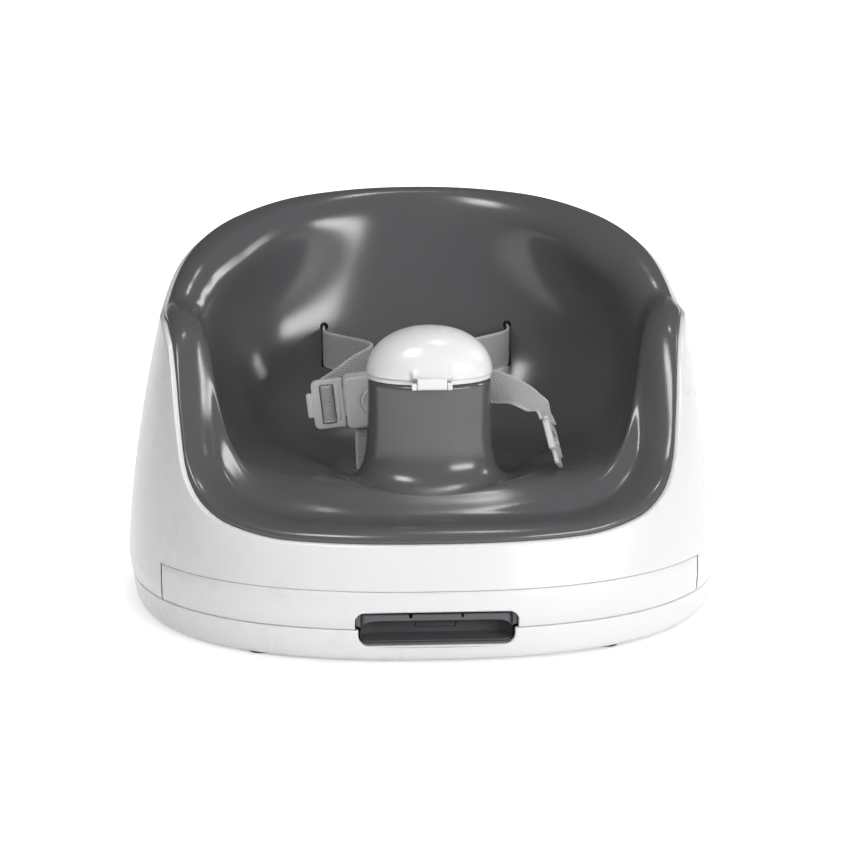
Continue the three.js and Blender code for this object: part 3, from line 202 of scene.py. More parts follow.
def columns(count: int, crowding: float = 0.45) -> Points:
    """Give mesh columns in degrees, which crowding (0 to 1) brings closer at the sides."""
    turn = 2 * np.arange(count) / count
    return 180 * turn + crowding * 180 * np.sin(2 * np.pi * turn) / (2 * np.pi)


def circle(count: int) -> Points:
    """Give even steps round a full circle, in radians."""
    return 2 * np.pi * np.arange(count) / count


def rounding(edge: float) -> list[tuple[float, float]]:
    """Give the steps round an edge.

    Args:
        edge: Radius of the edge, or 0 for a sharp one.

    Returns:
        How far in and how far up each step lies.
    """
    if not edge:
        return [(0.0, 0.0)]
    turns = np.radians([0, 30, 60, 90])
    return [(edge * (1 - math.sin(turn)), edge * (1 - math.cos(turn))) for turn in turns]


def spline_weights(knots: Points, places: Points) -> Points:
    """Give the weights of a natural cubic spline.

    Args:
        knots: Rising places of the control points.
        places: Places at which the spline is wanted.

    Returns:
        A matrix that turns control values into spline values.
    """
    count = len(knots)
    h = np.diff(knots)
    left, right = np.eye(count), np.zeros((count, count))
    for i in range(1, count - 1):
        left[i, i - 1 : i + 2] = h[i - 1], 2 * (h[i - 1] + h[i]), h[i]
        right[i, i - 1 : i + 2] = 3 / h[i - 1], -3 / h[i - 1] - 3 / h[i], 3 / h[i]
    bend = np.linalg.solve(left, right)
    eye = np.eye(count)
    i = np.clip(np.searchsorted(knots, places, side="right") - 1, 0, count - 2)
    d = (places - knots[i])[:, None]
    step = h[i][:, None]
    slope = (eye[i + 1] - eye[i]) / step - step * (2 * bend[i] + bend[i + 1]) / 3
    return eye[i] + slope * d + bend[i] * d**2 + (bend[i + 1] - bend[i]) / (3 * step) * d**3


def path_point(points: Points, share: float) -> Points:
    """Give a point of a smooth path that passes through all its stations.

    Args:
        points: The stations.
        share: Place on the path, from 0 to 1.

    Returns:
        The point.
    """
    last = len(points) - 1
    place = min(max(share, 0.0), 1.0) * last
    i = min(int(place), last - 1)
    t = place - i
    first = points[i - 1] if i > 0 else 2 * points[0] - points[1]
    final = points[i + 2] if i + 2 <= last else 2 * points[last] - points[last - 1]
    four = [first, points[i], points[i + 1], final]
    gaps = [max(float(np.sum((b - a) ** 2)) ** 0.25, 1e-4) for a, b in zip(four, four[1:])]
    a, b, c, d = four
    start = ((b - a) / gaps[0] - (c - a) / (gaps[0] + gaps[1]) + (c - b) / gaps[1]) * gaps[1]
    end = ((c - b) / gaps[1] - (d - b) / (gaps[1] + gaps[2]) + (d - c) / gaps[2]) * gaps[1]
    square, cube = 3 * (c - b) - 2 * start - end, 2 * (b - c) + start + end
    return b + start * t + square * t**2 + cube * t**3


def round_outline(width: float, height: float, radius: float, steps: int = 6) -> Points:
    """Give the outline of a rectangle with round corners.

    Args:
        width: Full width.
        height: Full height.
        radius: Radius of the corners.
        steps: Segments in each corner.

    Returns:
        The outline's points, anticlockwise.
    """
    radius = max(min(radius, width / 2 - LEAST, height / 2 - LEAST), LEAST)
    outline = []
    for corner, (sx, sy) in enumerate([(1, -1), (1, 1), (-1, 1), (-1, -1)]):
        for i in range(steps + 1):
            turn = math.radians(-90 + 90 * corner + 90 * i / steps)
            outline.append(
                (
                    sx * (width / 2 - radius) + radius * math.cos(turn),
                    sy * (height / 2 - radius) + radius * math.sin(turn),
                )
            )
    return np.array(outline)


# Meshes


def shade(piece: Piece, angle: float = SHARP) -> Piece:
    """Shade a piece smooth, apart from its real edges.

    Args:
        piece: The piece.
        angle: Angle in degrees from which an edge stays sharp.

    Returns:
        The same piece.
    """
    piece.data.shade_smooth()
    piece.data.set_sharp_from_angle(angle=math.radians(angle))
    return piece


def make(name: str, points: Points, faces: list[tuple[int, ...]], angle: float = SHARP) -> Piece:
    """Make an object from points in millimetres, with its faces turned outwards.

    Args:
        name: Name of the piece.
        points: Its points in millimetres.
        faces: Its faces, as point numbers.
        angle: Angle in degrees from which an edge stays sharp.

    Returns:
        The new object, linked to the scene.
    """
    mesh = bpy.data.meshes.new(name)
    mesh.from_pydata((np.asarray(points, float) * MM).tolist(), [], faces)
    work = bmesh.new()
    work.from_mesh(mesh)
    bmesh.ops.recalc_face_normals(work, faces=work.faces)
    work.to_mesh(mesh)
    work.free()
    piece = bpy.data.objects.new(name, mesh)
    bpy.context.scene.collection.objects.link(piece)
    return shade(piece, angle)


def skin(
    name: str,
    rows: Sequence[Points],
    start: Sequence[float] | None = None,
    end: Sequence[float] | None = None,
    angle: float = SHARP,
) -> Piece:
    """Make a closed skin over rows of closed rings.

    Args:
        name: Name of the piece.
        rows: The rings, each with the same number of points.
        start: Point that the first ring closes to, or None for a flat face.
        end: Point that the last ring closes to, or None for a flat face.
        angle: Angle in degrees from which an edge stays sharp.

    Returns:
        The new object.
    """
    count = len(rows[0])
    points = np.concatenate([np.asarray(row, float) for row in rows])
    faces: list[tuple[int, ...]] = []
    for row in range(len(rows) - 1):
        for i in range(count):
            j = (i + 1) % count
            a, b = row * count, (row + 1) * count
            faces.append((a + i, a + j, b + j, b + i))
    for ring, tip in ((0, start), (len(rows) - 1, end)):
        base = ring * count
        if tip is None:
            faces.append(tuple(range(base, base + count)))
        else:
            points = np.vstack([points, np.asarray(tip, float)])
            faces += [(base + i, base + (i + 1) % count, len(points) - 1) for i in range(count)]
    return make(name, points, faces, angle)


def plate(
    name: str,
    size: tuple[float, float],
    corner: float,
    depth: tuple[float, float],
    edge: float = 0.4,
    axis: Axis = Axis.Z,
    at: Sequence[float] = (0, 0, 0),
    steps: int = 6,
) -> Piece:
    """Make a plate with round corners and rounded edges.

    Args:
        name: Name of the piece.
        size: Width and height of its face.
        corner: Radius of its corners.
        depth: Lowest and highest place along its thickness.
        edge: Radius of its edges.
        axis: Direction of its thickness.
        at: Middle of its face.
        steps: Segments in each corner.

    Returns:
        The new object.
    """
    edge = max(min(edge, (depth[1] - depth[0]) / 2 - LEAST), 0.0)
    levels = [(inset, depth[0] + rise) for inset, rise in rounding(edge)]
    levels += [(inset, depth[0] + depth[1] - level) for inset, level in reversed(levels)]
    rows = []
    for inset, level in levels:
        outline = round_outline(size[0] - 2 * inset, size[1] - 2 * inset, corner - inset, steps)
        rows.append(axis.ring(outline[:, 0], outline[:, 1], level) + np.asarray(at, float))
    return skin(name, rows)


def column(
    name: str,
    at: tuple[float, float],
    radii: tuple[float, float],
    z: tuple[float, float],
    edge: float = 0.0,
    sides: int = 48,
    axis: Axis = Axis.Z,
) -> Piece:
    """Make a round or oval column.

    Args:
        name: Name of the piece.
        at: Its middle across its length.
        radii: Its two radii.
        z: Lowest and highest place along its length.
        edge: Radius of its edges.
        sides: Number of sides.
        axis: Direction of its length.

    Returns:
        The new object.
    """
    turn = circle(sides)
    steps = rounding(edge)
    levels = [(inset, z[0] + rise) for inset, rise in steps]
    levels += [(inset, z[1] - rise) for inset, rise in reversed(steps)]
    rows = []
    for inset, level in levels:
        u = at[0] + (radii[0] - inset) * np.cos(turn)
        v = at[1] + (radii[1] - inset) * np.sin(turn)
        rows.append(axis.ring(u, v, level))
    return skin(name, rows)


def box(name: str, x: Sequence[float], y: Sequence[float], z: Sequence[float]) -> Piece:
    """Make a plain block that a boolean uses.

    Args:
        name: Name of the block.
        x: Its ends along X.
        y: Its ends along Y.
        z: Its ends along Z.

    Returns:
        The new object.
    """
    x, y = sorted(x), sorted(y)
    ring = np.array([(x[0], y[0]), (x[1], y[0]), (x[1], y[1]), (x[0], y[1])])
    rows = [np.column_stack([ring, np.full(4, level)]) for level in z]
    return skin(name, rows)


def bake(piece: Piece, angle: float = SHARP) -> Piece:
    """Apply all modifiers of a piece.

    Args:
        piece: The piece.
        angle: Angle in degrees from which an edge stays sharp.

    Returns:
        The same piece, without modifiers.
    """
    bpy.context.view_layer.update()
    graph = bpy.context.evaluated_depsgraph_get()
    mesh = bpy.data.meshes.new_from_object(piece.evaluated_get(graph))
    piece.modifiers.clear()
    old, piece.data = piece.data, mesh
    bpy.data.meshes.remove(old)
    return shade(piece, angle)


def carve(
    piece: Piece,
    tools: Sequence[Piece],
    how: Cut = Cut.AWAY,
    angle: float = SHARP,
) -> Piece:
    """Run booleans with several tools on a piece, and remove the tools.

    Args:
        piece: The piece that changes.
        tools: The closed meshes to use on it.
        how: The boolean operation.
        angle: Angle in degrees from which an edge stays sharp.

    Returns:
        The same piece.
    """
    for tool in tools:
        modifier = piece.modifiers.new("carve", "BOOLEAN")
        modifier.operation = how.value
        modifier.solver = "MANIFOLD"
        modifier.object = tool
    bake(piece, angle)
    for tool in tools:
        bpy.data.objects.remove(tool, do_unlink=True)
    if not piece.data.polygons:
        raise RuntimeError(f"{piece.name} is empty after its booleans")
    return piece


def merge(name: str, pieces: Sequence[Piece]) -> Piece:
    """Join separate meshes into one object.

    Args:
        name: Name of the result.
        pieces: The objects to join.

    Returns:
        The joined object.
    """
    work = bmesh.new()
    for piece in pieces:
        work.from_mesh(piece.data)
    mesh = bpy.data.meshes.new(name)
    work.to_mesh(mesh)
    work.free()
    for piece in pieces:
        bpy.data.objects.remove(piece, do_unlink=True)
    joined = bpy.data.objects.new(name, mesh)
    bpy.context.scene.collection.objects.link(joined)
    return shade(joined)


def place(piece: Piece, matrix: Matrix) -> Piece:
    """Move a piece's mesh into the frame.

    Args:
        piece: The piece, made round its own origin.
        matrix: Its place, in millimetres.

    Returns:
        The same piece.
    """
    scaled = matrix.copy()
    scaled.translation *= MM
    piece.data.transform(scaled)
    return piece


# Finishes


class Sheet:
    """Adds and links the nodes of one tree."""

    def __init__(self, tree: NodeTree) -> None:
        """Keep the tree."""
        self.tree = tree

    def put(self, value: object, socket: Socket) -> None:
        """Feed an input.

        Args:
            value: A plain value, or an output socket that is linked to it.
            socket: The input.
        """
        if isinstance(value, Socket):
            self.tree.links.new(value, socket)
        else:
            socket.default_value = value

    def add(self, kind: str, settings: dict | None = None, **inputs: object) -> bpy.types.Node:
        """Add a node.

        Args:
            kind: Type of the node.
            settings: Its own properties.
            inputs: Values or sockets for its inputs, by name with _ for a space, or i and number.

        Returns:
            The new node.
        """
        node = self.tree.nodes.new(kind)
        for key, value in (settings or {}).items():
            setattr(node, key, value)
        for key, value in inputs.items():
            place_in = int(key[1:]) if key[1:].isdigit() else key.replace("_", " ")
            self.put(value, node.inputs[place_in])
        return node

    def math(self, operation: str, a: object, b: object = 0.0, clamp: bool = False) -> Socket:
        """Add a math node."""
        settings = {"operation": operation, "use_clamp": clamp}
        return self.add("ShaderNodeMath", settings, i0=a, i1=b).outputs[0]

    def plus(self, a: object, b: object, clamp: bool = False) -> Socket:
        """Add two values, and keep the sum from 0 to 1 where clamp is set."""
        return self.math("ADD", a, b, clamp)

    def times(self, a: object, b: object) -> Socket:
        """Multiply two values."""
        return self.math("MULTIPLY", a, b)

    def spread(
        self, value: object, low: float, high: float, to_low: float = 0.0, to_high: float = 1.0
    ) -> Socket:
        """Map a range of values smoothly to another.

        Args:
            value: The socket to map.
            low: Its low end.
            high: Its high end.
            to_low: Result at the low end.
            to_high: Result at the high end.

        Returns:
            The mapped output.
        """
        node = self.add("ShaderNodeMapRange", {"interpolation_type": "SMOOTHSTEP"}, i0=value)
        for i, number in enumerate((low, high, to_low, to_high)):
            node.inputs[1 + i].default_value = number
        return node.outputs[0]

    def noise(self, vector: object, scale: float, detail: float = 2, rough: float = 0.5) -> Socket:
        """Add a noise texture.

        Args:
            vector: Its coordinates.
            scale: Its scale.
            detail: Number of finer layers.
            rough: Strength of the finer layers.

        Returns:
            Its value.
        """
        kind = "ShaderNodeTexNoise"
        node = self.add(kind, None, Vector=vector, Scale=scale, Detail=detail, Roughness=rough)
        return node.outputs[0]

    def mix(self, factor: object, a: object, b: object) -> Socket:
        """Mix two colours.

        Args:
            factor: Share of the second colour.
            a: First colour.
            b: Second colour.

        Returns:
            The mixed colour.
        """
        node = self.add("ShaderNodeMix", {"data_type": "RGBA"})
        for i, value in ((0, factor), (6, a), (7, b)):
            self.put(value, node.inputs[i])
        return node.outputs[2]


def new_group(name: str, inputs: dict[str, str], outputs: dict[str, str]) -> tuple[NodeTree, Sheet]:
    """Start a shader node group.

    Args:
        name: Name of the group.
        inputs: Its inputs and their socket types.
        outputs: Its outputs and their socket types.

    Returns:
        The group and a sheet that fills it.
    """
    tree = bpy.data.node_groups.new(name, "ShaderNodeTree")
    for key, kind in inputs.items():
        tree.interface.new_socket(name=key, in_out="INPUT", socket_type=kind)
    for key, kind in outputs.items():
        tree.interface.new_socket(name=key, in_out="OUTPUT", socket_type=kind)
    return tree, Sheet(tree)


NUMBER, COLOUR, VECTOR = "NodeSocketFloat", "NodeSocketColor", "NodeSocketVector"
# UV layer with metres across and along the webbing
WEAVE_LAYER = "weave"


def grain_group() -> NodeTree:
    """Make the group for moulded skins: fine grain and slow mottling.

    Returns:
        The node group.
    """
    tree, sheet = new_group(
        "moulded_grain",
        {
            "Position": VECTOR,
            "Dark": COLOUR,
            "Light": COLOUR,
            "Smooth": NUMBER,
            "Rough": NUMBER,
            "Fineness": NUMBER,
        },
        {"Colour": COLOUR, "Roughness": NUMBER, "Height": NUMBER},
    )
    start, end = sheet.add("NodeGroupInput"), sheet.add("NodeGroupOutput")
    place_at = start.outputs["Position"]
    broad = sheet.noise(place_at, 16, 3, 0.55)
    fine = sheet.noise(place_at, 1.0, 3, 0.6)
    sheet.put(start.outputs["Fineness"], fine.node.inputs["Scale"])
    cells = sheet.add("ShaderNodeTexVoronoi", {"feature": "SMOOTH_F1"}, Vector=place_at)
    sheet.put(sheet.times(start.outputs["Fineness"], 0.7), cells.inputs["Scale"])
    blotch = sheet.spread(broad, 0.3, 0.7)
    speck = sheet.plus(sheet.times(blotch, 0.7), sheet.times(fine, 0.3))
    colour = sheet.mix(speck, start.outputs["Dark"], start.outputs["Light"])
    sheet.put(colour, end.inputs["Colour"])
    share = sheet.plus(sheet.times(blotch, 0.65), sheet.times(fine, 0.35), True)
    span = sheet.math("SUBTRACT", start.outputs["Rough"], start.outputs["Smooth"])
    roughness = sheet.plus(sheet.times(share, span), start.outputs["Smooth"])
    sheet.put(roughness, end.inputs["Roughness"])
    relief = sheet.plus(sheet.times(fine, 0.55), sheet.times(cells.outputs[0], 0.45))
    sheet.put(relief, end.inputs["Height"])
    return tree


def handling_group() -> NodeTree:
    """Make the group for handling marks: thin rubbed streaks and a slight dulling on top faces.

    Returns:
        The node group.
    """
    tree, sheet = new_group(
        "handling_marks", {"Position": VECTOR, "Roughness": NUMBER}, {"Roughness": NUMBER}
    )
    start, end = sheet.add("NodeGroupInput"), sheet.add("NodeGroupOutput")
    place_at = start.outputs["Position"]
    stretched = sheet.add(
        "ShaderNodeMapping", None, Vector=place_at, Rotation=(0.3, 0.5, 0.7), Scale=(420, 26, 60)
    )
    streak = sheet.spread(sheet.noise(stretched.outputs[0], 1.0), 0.63, 0.72)
    patch = sheet.spread(sheet.noise(place_at, 22), 0.5, 0.66)
    marks = sheet.times(streak, patch)
    normal = sheet.add("ShaderNodeNewGeometry").outputs["Normal"]
    upward = sheet.add("ShaderNodeSeparateXYZ", None, Vector=normal).outputs[2]
    dust = sheet.times(sheet.spread(upward, 0.55, 1.0), 0.03)
    rubbed = sheet.plus(sheet.times(marks, 0.04), dust)
    sheet.put(sheet.plus(start.outputs["Roughness"], rubbed, True), end.inputs["Roughness"])
    return tree


def weave_group() -> NodeTree:
    """Make the group for webbing: crossing diagonal threads and ribs along it, with painted shade
    that darkens the colour in the hollows between threads and lightens it on their crests, and a
    lighter band along both edges.

    Returns:
        The node group.
    """
    tree, sheet = new_group(
        "woven_threads",
        {"Dark": COLOUR, "Light": COLOUR},
        {"Colour": COLOUR, "Roughness": NUMBER, "Height": NUMBER},
    )
    start, end = sheet.add("NodeGroupInput"), sheet.add("NodeGroupOutput")
    flat = sheet.add("ShaderNodeUVMap", {"uv_map": WEAVE_LAYER}).outputs[0]
    parts = sheet.add("ShaderNodeSeparateXYZ", None, Vector=flat)
    across, along = parts.outputs[0], parts.outputs[1]

    def wave(value: object, period: float, shift: float = 0.0) -> Socket:
        """Make threads as a wave from 0 to 1, at a period in metres."""
        turn = sheet.times(value, 2 * math.pi / period)
        return sheet.times(sheet.plus(sheet.math("SINE", sheet.plus(turn, shift)), 1.0), 0.5)

    diagonal = sheet.plus(across, along)
    counter = sheet.math("SUBTRACT", across, along)
    first = sheet.math("POWER", wave(diagonal, 0.0026), 2.0)
    second = sheet.math("POWER", wave(counter, 0.0026, 1.57), 2.0)
    crossing = sheet.math("MAXIMUM", first, second)
    threads = sheet.times(wave(across, 0.0009), wave(along, 0.0011))
    height = sheet.plus(sheet.times(crossing, 0.65), sheet.times(threads, 0.35))
    edge = sheet.spread(sheet.math("ABSOLUTE", across), 0.0104, 0.0112)
    fuzz = sheet.noise(flat, 900, 3, 0.6)
    # Painted shade: the colour follows the thread relief, darker in the hollows and lighter on the
    # crests; fuzz adds random tone and the edge band is only lighter in colour
    light = sheet.plus(sheet.times(height, 0.6), sheet.times(fuzz, 0.25))
    light = sheet.plus(light, sheet.times(edge, 0.3), True)
    colour = sheet.mix(light, start.outputs["Dark"], start.outputs["Light"])
    sheet.put(colour, end.inputs["Colour"])
    sheet.put(sheet.spread(height, 0.0, 1.0, 0.86, 0.7), end.inputs["Roughness"])
    sheet.put(sheet.plus(height, sheet.times(fuzz, 0.2)), end.inputs["Height"])
    return tree


@dataclass(frozen=True)
class Finish:
    """A procedural finish for one material slot."""

    slot: Slot
    dark: tuple[float, float, float]
    light: tuple[float, float, float]
    smooth: float
    rough: float
    fineness: float
    relief: float
    distance: float
    coat: float = 0.0
    coat_rough: float = 0.12
    metallic: float = 0.0
    specular: float = 0.5
    sheen: float = 0.0
    woven: bool = False

    def material(self) -> bpy.types.Material:
        """Make the finish's material.

        Returns:
            The material, made on the first call and kept after that.
        """
        name = f"finish_{self.slot.value}"
        if name in bpy.data.materials:
            return bpy.data.materials[name]
        material = bpy.data.materials.new(name)
        material.use_nodes = True
        sheet = Sheet(material.node_tree)
        shader = material.node_tree.nodes["Principled BSDF"]
        sheet.put(self.metallic, shader.inputs["Metallic"])
        sheet.put(self.specular, shader.inputs["Specular IOR Level"])
        sheet.put(self.sheen, shader.inputs["Sheen Weight"])
        sheet.put(self.coat, shader.inputs["Coat Weight"])
        sheet.put(self.coat_rough, shader.inputs["Coat Roughness"])
        skin_group = group_named("woven_threads" if self.woven else "moulded_grain")
        group = sheet.add("ShaderNodeGroup", {"node_tree": skin_group})
        sheet.put((*self.dark, 1), group.inputs["Dark"])
        sheet.put((*self.light, 1), group.inputs["Light"])
        roughness = group.outputs["Roughness"]
        if not self.woven:
            position = sheet.add("ShaderNodeTexCoord").outputs["Object"]
            sheet.put(position, group.inputs["Position"])
            sheet.put(self.smooth, group.inputs["Smooth"])
            sheet.put(self.rough, group.inputs["Rough"])
            sheet.put(self.fineness, group.inputs["Fineness"])
            marks = sheet.add("ShaderNodeGroup", {"node_tree": group_named("handling_marks")})
            sheet.put(position, marks.inputs["Position"])
            sheet.put(roughness, marks.inputs["Roughness"])
            roughness = marks.outputs["Roughness"]
        sheet.put(group.outputs["Colour"], shader.inputs["Base Color"])
        sheet.put(roughness, shader.inputs["Roughness"])
        bump = sheet.add("ShaderNodeBump", None, Strength=self.relief, Distance=self.distance)
        sheet.put(group.outputs["Height"], bump.inputs["Height"])
        sheet.put(bump.outputs[0], shader.inputs["Normal"])
        return material


GROUPS = {
    "moulded_grain": grain_group,
    "handling_marks": handling_group,
    "woven_threads": weave_group,
}


def group_named(name: str) -> NodeTree:
    """Give a shared node group by its name, made on first use."""
    return bpy.data.node_groups.get(name) or GROUPS[name]()


WHITE = Finish(
    Slot.WHITE, (0.785, 0.79, 0.795), (0.805, 0.81, 0.815), 0.25, 0.34, 1500, 0.06, 0.00012,
    coat=0.12,
)  # fmt: skip
LID_WHITE = Finish(
    Slot.LID, (0.8, 0.805, 0.81), (0.84, 0.845, 0.85), 0.2, 0.28, 1800, 0.04, 0.0001, coat=0.2
)
FOAM = Finish(
    Slot.FOAM, (0.094, 0.0955, 0.099), (0.1, 0.1015, 0.105), 0.16, 0.21, 1300, 0.2, 0.00012
)
GREY = Finish(Slot.GREY, (0.085, 0.088, 0.092), (0.1, 0.103, 0.108), 0.4, 0.52, 1400, 0.3, 0.0002)
RUBBER = Finish(Slot.FOOT, (0.02, 0.02, 0.021), (0.032, 0.032, 0.034), 0.62, 0.8, 900, 0.5, 0.0003)
# The span from dark to light carries the weave's painted shade: darker in the hollows between
# threads, lighter on their crests
WEBBING = Finish(
    Slot.WEBBING, (0.28, 0.28, 0.277), (0.7, 0.702, 0.695), 0.7, 0.86, 900, 1.0, 0.0006,
    sheen=0.25, woven=True,
)  # fmt: skip
BUCKLE = Finish(
    Slot.BUCKLE, (0.52, 0.525, 0.52), (0.58, 0.585, 0.58), 0.32, 0.46, 1500, 0.12, 0.00015
)
INNER = Finish(Slot.INNER, (0.5, 0.505, 0.505), (0.6, 0.605, 0.605), 0.45, 0.6, 1200, 0.2, 0.0002)
STEEL = Finish(
    Slot.STEEL, (0.45, 0.455, 0.46), (0.6, 0.605, 0.61), 0.22, 0.4, 2200, 0.15, 0.0001, metallic=1.0
)


def register(piece: Piece, body: Body, finish: Finish, *nodes: str) -> Piece:
    """Dress a piece and hang it on its body.

    Args:
        piece: The piece, in place.
        body: The body that it moves with.
        finish: Its finish.
        nodes: CAD nodes that it stands for.

    Returns:
        The same piece.
    """
    piece.data.materials.clear()
    piece.data.materials.append(finish.material())
    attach(piece, body.value)
    if nodes:
        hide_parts(*nodes)
    LOG.info("%s: %d faces, on %s", piece.name, len(piece.data.polygons), body.value)
    return piece


def dress_node(node: str, finish: Finish) -> None:
    """Give a kept CAD node a better material.

    Args:
        node: Name of the node.
        finish: Its finish.
    """
    for material_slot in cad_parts[node].material_slots:
        material_slot.material = finish.material()
    LOG.info("%s: kept, dressed as %s", node, finish.slot.value)


# Form of the base, shared by its shells, the tray's front panel and the insert


@dataclass(frozen=True)
class BaseForm:
    """Outline of the base: skirt, rim and the bowl that the insert sits in."""

    width: float = 385
    depth: float = 330
    widest_z: float = 34
    seam_z: float = 22
    floor_z: float = 1.5
    plan_power: float = 2.4
    side_draw: float = 34.5
    front_draw: float = 48
    back_draw: float = 33
    seam_draw: float = 2.2
    turn_under: float = 7
    wall: float = 3
    lip_wall: float = 3.2
    seam_edge: tuple[tuple[float, float], ...] = ((0.9, 0), (0.5, 0.1), (0.2, 0.28), (0.05, 0.5))
    lip_depth: float = 3
    arm_top_z: float = 184.5
    front_rim_z: float = 72
    back_rim_z: float = 242.5
    bowl_half_width: float = 124
    bowl_front: float = 126
    bowl_back: float = 92
    bowl_floor_z: float = 71
    bowl_middle_y: float = -15
    bowl_corner_z: float = 76

    @property
    def rim_line(self) -> Line:
        """Height of the rim by folded angle.

        Returns:
            The line from the front over the arm and the wing to the back.
        """
        front, arm, back = self.front_rim_z, self.arm_top_z, self.back_rim_z
        return smooth_line(
            [
                (0, front), (24, front + 0.6), (38, front + 6), (46, front + 15),
                (52, front + 30), (58, arm - 52), (64, arm - 25), (70, arm - 9),
                (80, arm), (92, arm), (97, arm + 10), (103, arm + 21),
                (113, back - 26), (130, back - 14), (155, back - 3.5), (180, back),
            ]
        )  # fmt: skip

    def reaches(self, z: Points, inset: Points = 0.0) -> tuple[Points, Points, Points]:
        """Give the skirt's reach to the side, front and back at a height.

        Args:
            z: Height.
            inset: How far to move the skirt in.

        Returns:
            Half width, front reach and back reach.
        """
        z = np.asarray(z, float)
        below = np.clip((self.widest_z - z) / (self.widest_z - self.seam_z), 0, 1)
        tuck = self.seam_draw * below**2 + inset

        def lean(height: float) -> Points:
            """Give how far above the widest level the points lie, as a share of a height."""
            return np.maximum(0, (z - self.widest_z) / height)

        arm_height = self.arm_top_z - self.widest_z
        back_height = self.back_rim_z - self.widest_z
        return (
            self.width / 2 - self.side_draw * lean(back_height - 15) ** 1.49 - tuck,
            self.depth / 2 - self.front_draw * lean(arm_height - 12) ** 1.1 - tuck,
            self.depth / 2 - self.back_draw * lean(back_height) ** 1.3 - tuck,
        )

    def skirt(self, angle: Points, z: Points, inset: Points = 0.0) -> Points:
        """Give points of the skirt at angles and heights, moved in by an inset."""
        half, front, back = self.reaches(z, inset)
        return plan_point(angle, half, front, back, 0, self.plan_power, z)

    def front_at(self, x: Points, z: Points, inset: Points = 0.0) -> Points:
        """Give the skirt's place along Y at the front, for a place across it.

        Args:
            x: Place along X.
            z: Height.
            inset: How far to move the skirt in.

        Returns:
            The place along Y.
        """
        half, front, _ = self.reaches(z, inset)
        share = np.clip(1 - (np.abs(x) / half) ** self.plan_power, 0, 1)
        return -front * share ** (1 / self.plan_power)

    def rim(self, angle: Points) -> Points:
        """Give the rim's height at angles in degrees."""
        return self.rim_line(folded(angle))

    def bowl(self, angle: Points, t: float) -> Points:
        """Give points of the bowl, from its rim (0) over its foot (0.8) to its middle (1).

        Args:
            angle: Angles in degrees.
            t: Place between rim and middle.

        Returns:
            The points.
        """
        rim = self.rim(angle)
        top = self.skirt(angle, rim, self.lip_wall)
        top[..., 2] = rim - self.lip_depth
        side = np.sin(np.radians(folded(angle) / 2)) ** 2
        low = self.bowl_floor_z - 1.5
        foot_z = low + (self.bowl_corner_z - low) * np.minimum(1, side * 2)
        half, front, back = self.bowl_half_width, self.bowl_front, self.bowl_back
        foot = plan_point(angle, half, front, back, 0, self.plan_power, foot_z)
        if t > 0.8:
            middle = np.array([0, self.bowl_middle_y, self.bowl_floor_z])
            return foot + (middle - foot) * (t - 0.8) / 0.2
        upper = top.copy()
        upper[..., 2] += (foot[..., 2] - top[..., 2]) * 0.55
        lower = foot + (top - foot) * 0.45
        lower[..., 2] = foot[..., 2]
        s = t / 0.8
        near_rim = (1 - s) ** 3 * top + 3 * s * (1 - s) ** 2 * upper
        return near_rim + 3 * s**2 * (1 - s) * lower + s**3 * foot

    def beside_bowl(self, angle: Points, t: float, distance: float) -> Points:
        """Give points at a distance from the bowl.

        Args:
            angle: Angles in degrees.
            t: Place between rim and middle.
            distance: How far above the bowl, or below it when negative.

        Returns:
            The points.
        """
        around = self.bowl(angle + 0.5, t) - self.bowl(angle - 0.5, t)
        inward = self.bowl(angle, min(t + 0.01, 0.99)) - self.bowl(angle, max(t - 0.01, 0))
        normal = np.cross(around, inward)
        normal /= np.linalg.norm(normal, axis=-1, keepdims=True)
        normal *= np.where(normal[..., 2:] < 0, -1, 1)
        return self.bowl(angle, t) + normal * distance


FORM = BaseForm()


# The finger opening in the lower shell and the tray's front
NOTCH_Z = (12, 33.2)
NOTCH_CORNER = 6
NOTCH_ROUNDING = 1.1
NOTCH_BACK_Y = -153.9


def notch_cutter(half_width: float, surface: Callable[[Points, Points], Points]) -> Piece:
    """Make a cutter for the finger opening, whose mouth flares where it meets a surface.

    Args:
        half_width: Half of its width.
        surface: Place of the surface along Y, by X and Z.

    Returns:
        The new object.
    """
    bottom, top = NOTCH_Z
    outline = round_outline(2 * half_width, top - bottom, NOTCH_CORNER, 10)
    outline += np.array([0, (top + bottom) / 2])
    ahead = np.roll(outline, -1, axis=0) - np.roll(outline, 1, axis=0)
    out = np.stack([ahead[:, 1], -ahead[:, 0]], axis=-1)
    out /= np.linalg.norm(out, axis=-1, keepdims=True)
    rows = []
    for turn in np.radians([0, 24, 48, 72, 90]):
        at = outline + out * NOTCH_ROUNDING * (1 - math.sin(turn))
        y = surface(at[:, 0], at[:, 1]) + NOTCH_ROUNDING * (1 - math.cos(turn))
        rows.append(np.stack([at[:, 0], y, at[:, 1]], axis=-1))
    mouth = rows[0].copy()
    mouth += np.stack([out[:, 0], np.zeros(len(out)), out[:, 1]], axis=-1) * 0.35
    mouth[:, 1] -= 3
    inner = rows[-1].copy()
    inner[:, 1] = NOTCH_BACK_Y
    return skin("notch", [mouth, *rows, inner])


# Radii of the holes for the screws' shanks and heads
SCREW_HOLE = 2.05
SCREW_SINK = 4.05


def bore(at: tuple[float, float], radius: float, z: tuple[float, float]) -> Piece:
    """Make the cutter of one round hole along Z, between the ends in z."""
    return column("bore", at, (radius, radius), z, sides=20 if radius < SCREW_SINK else 24)


# Sub-assemblies


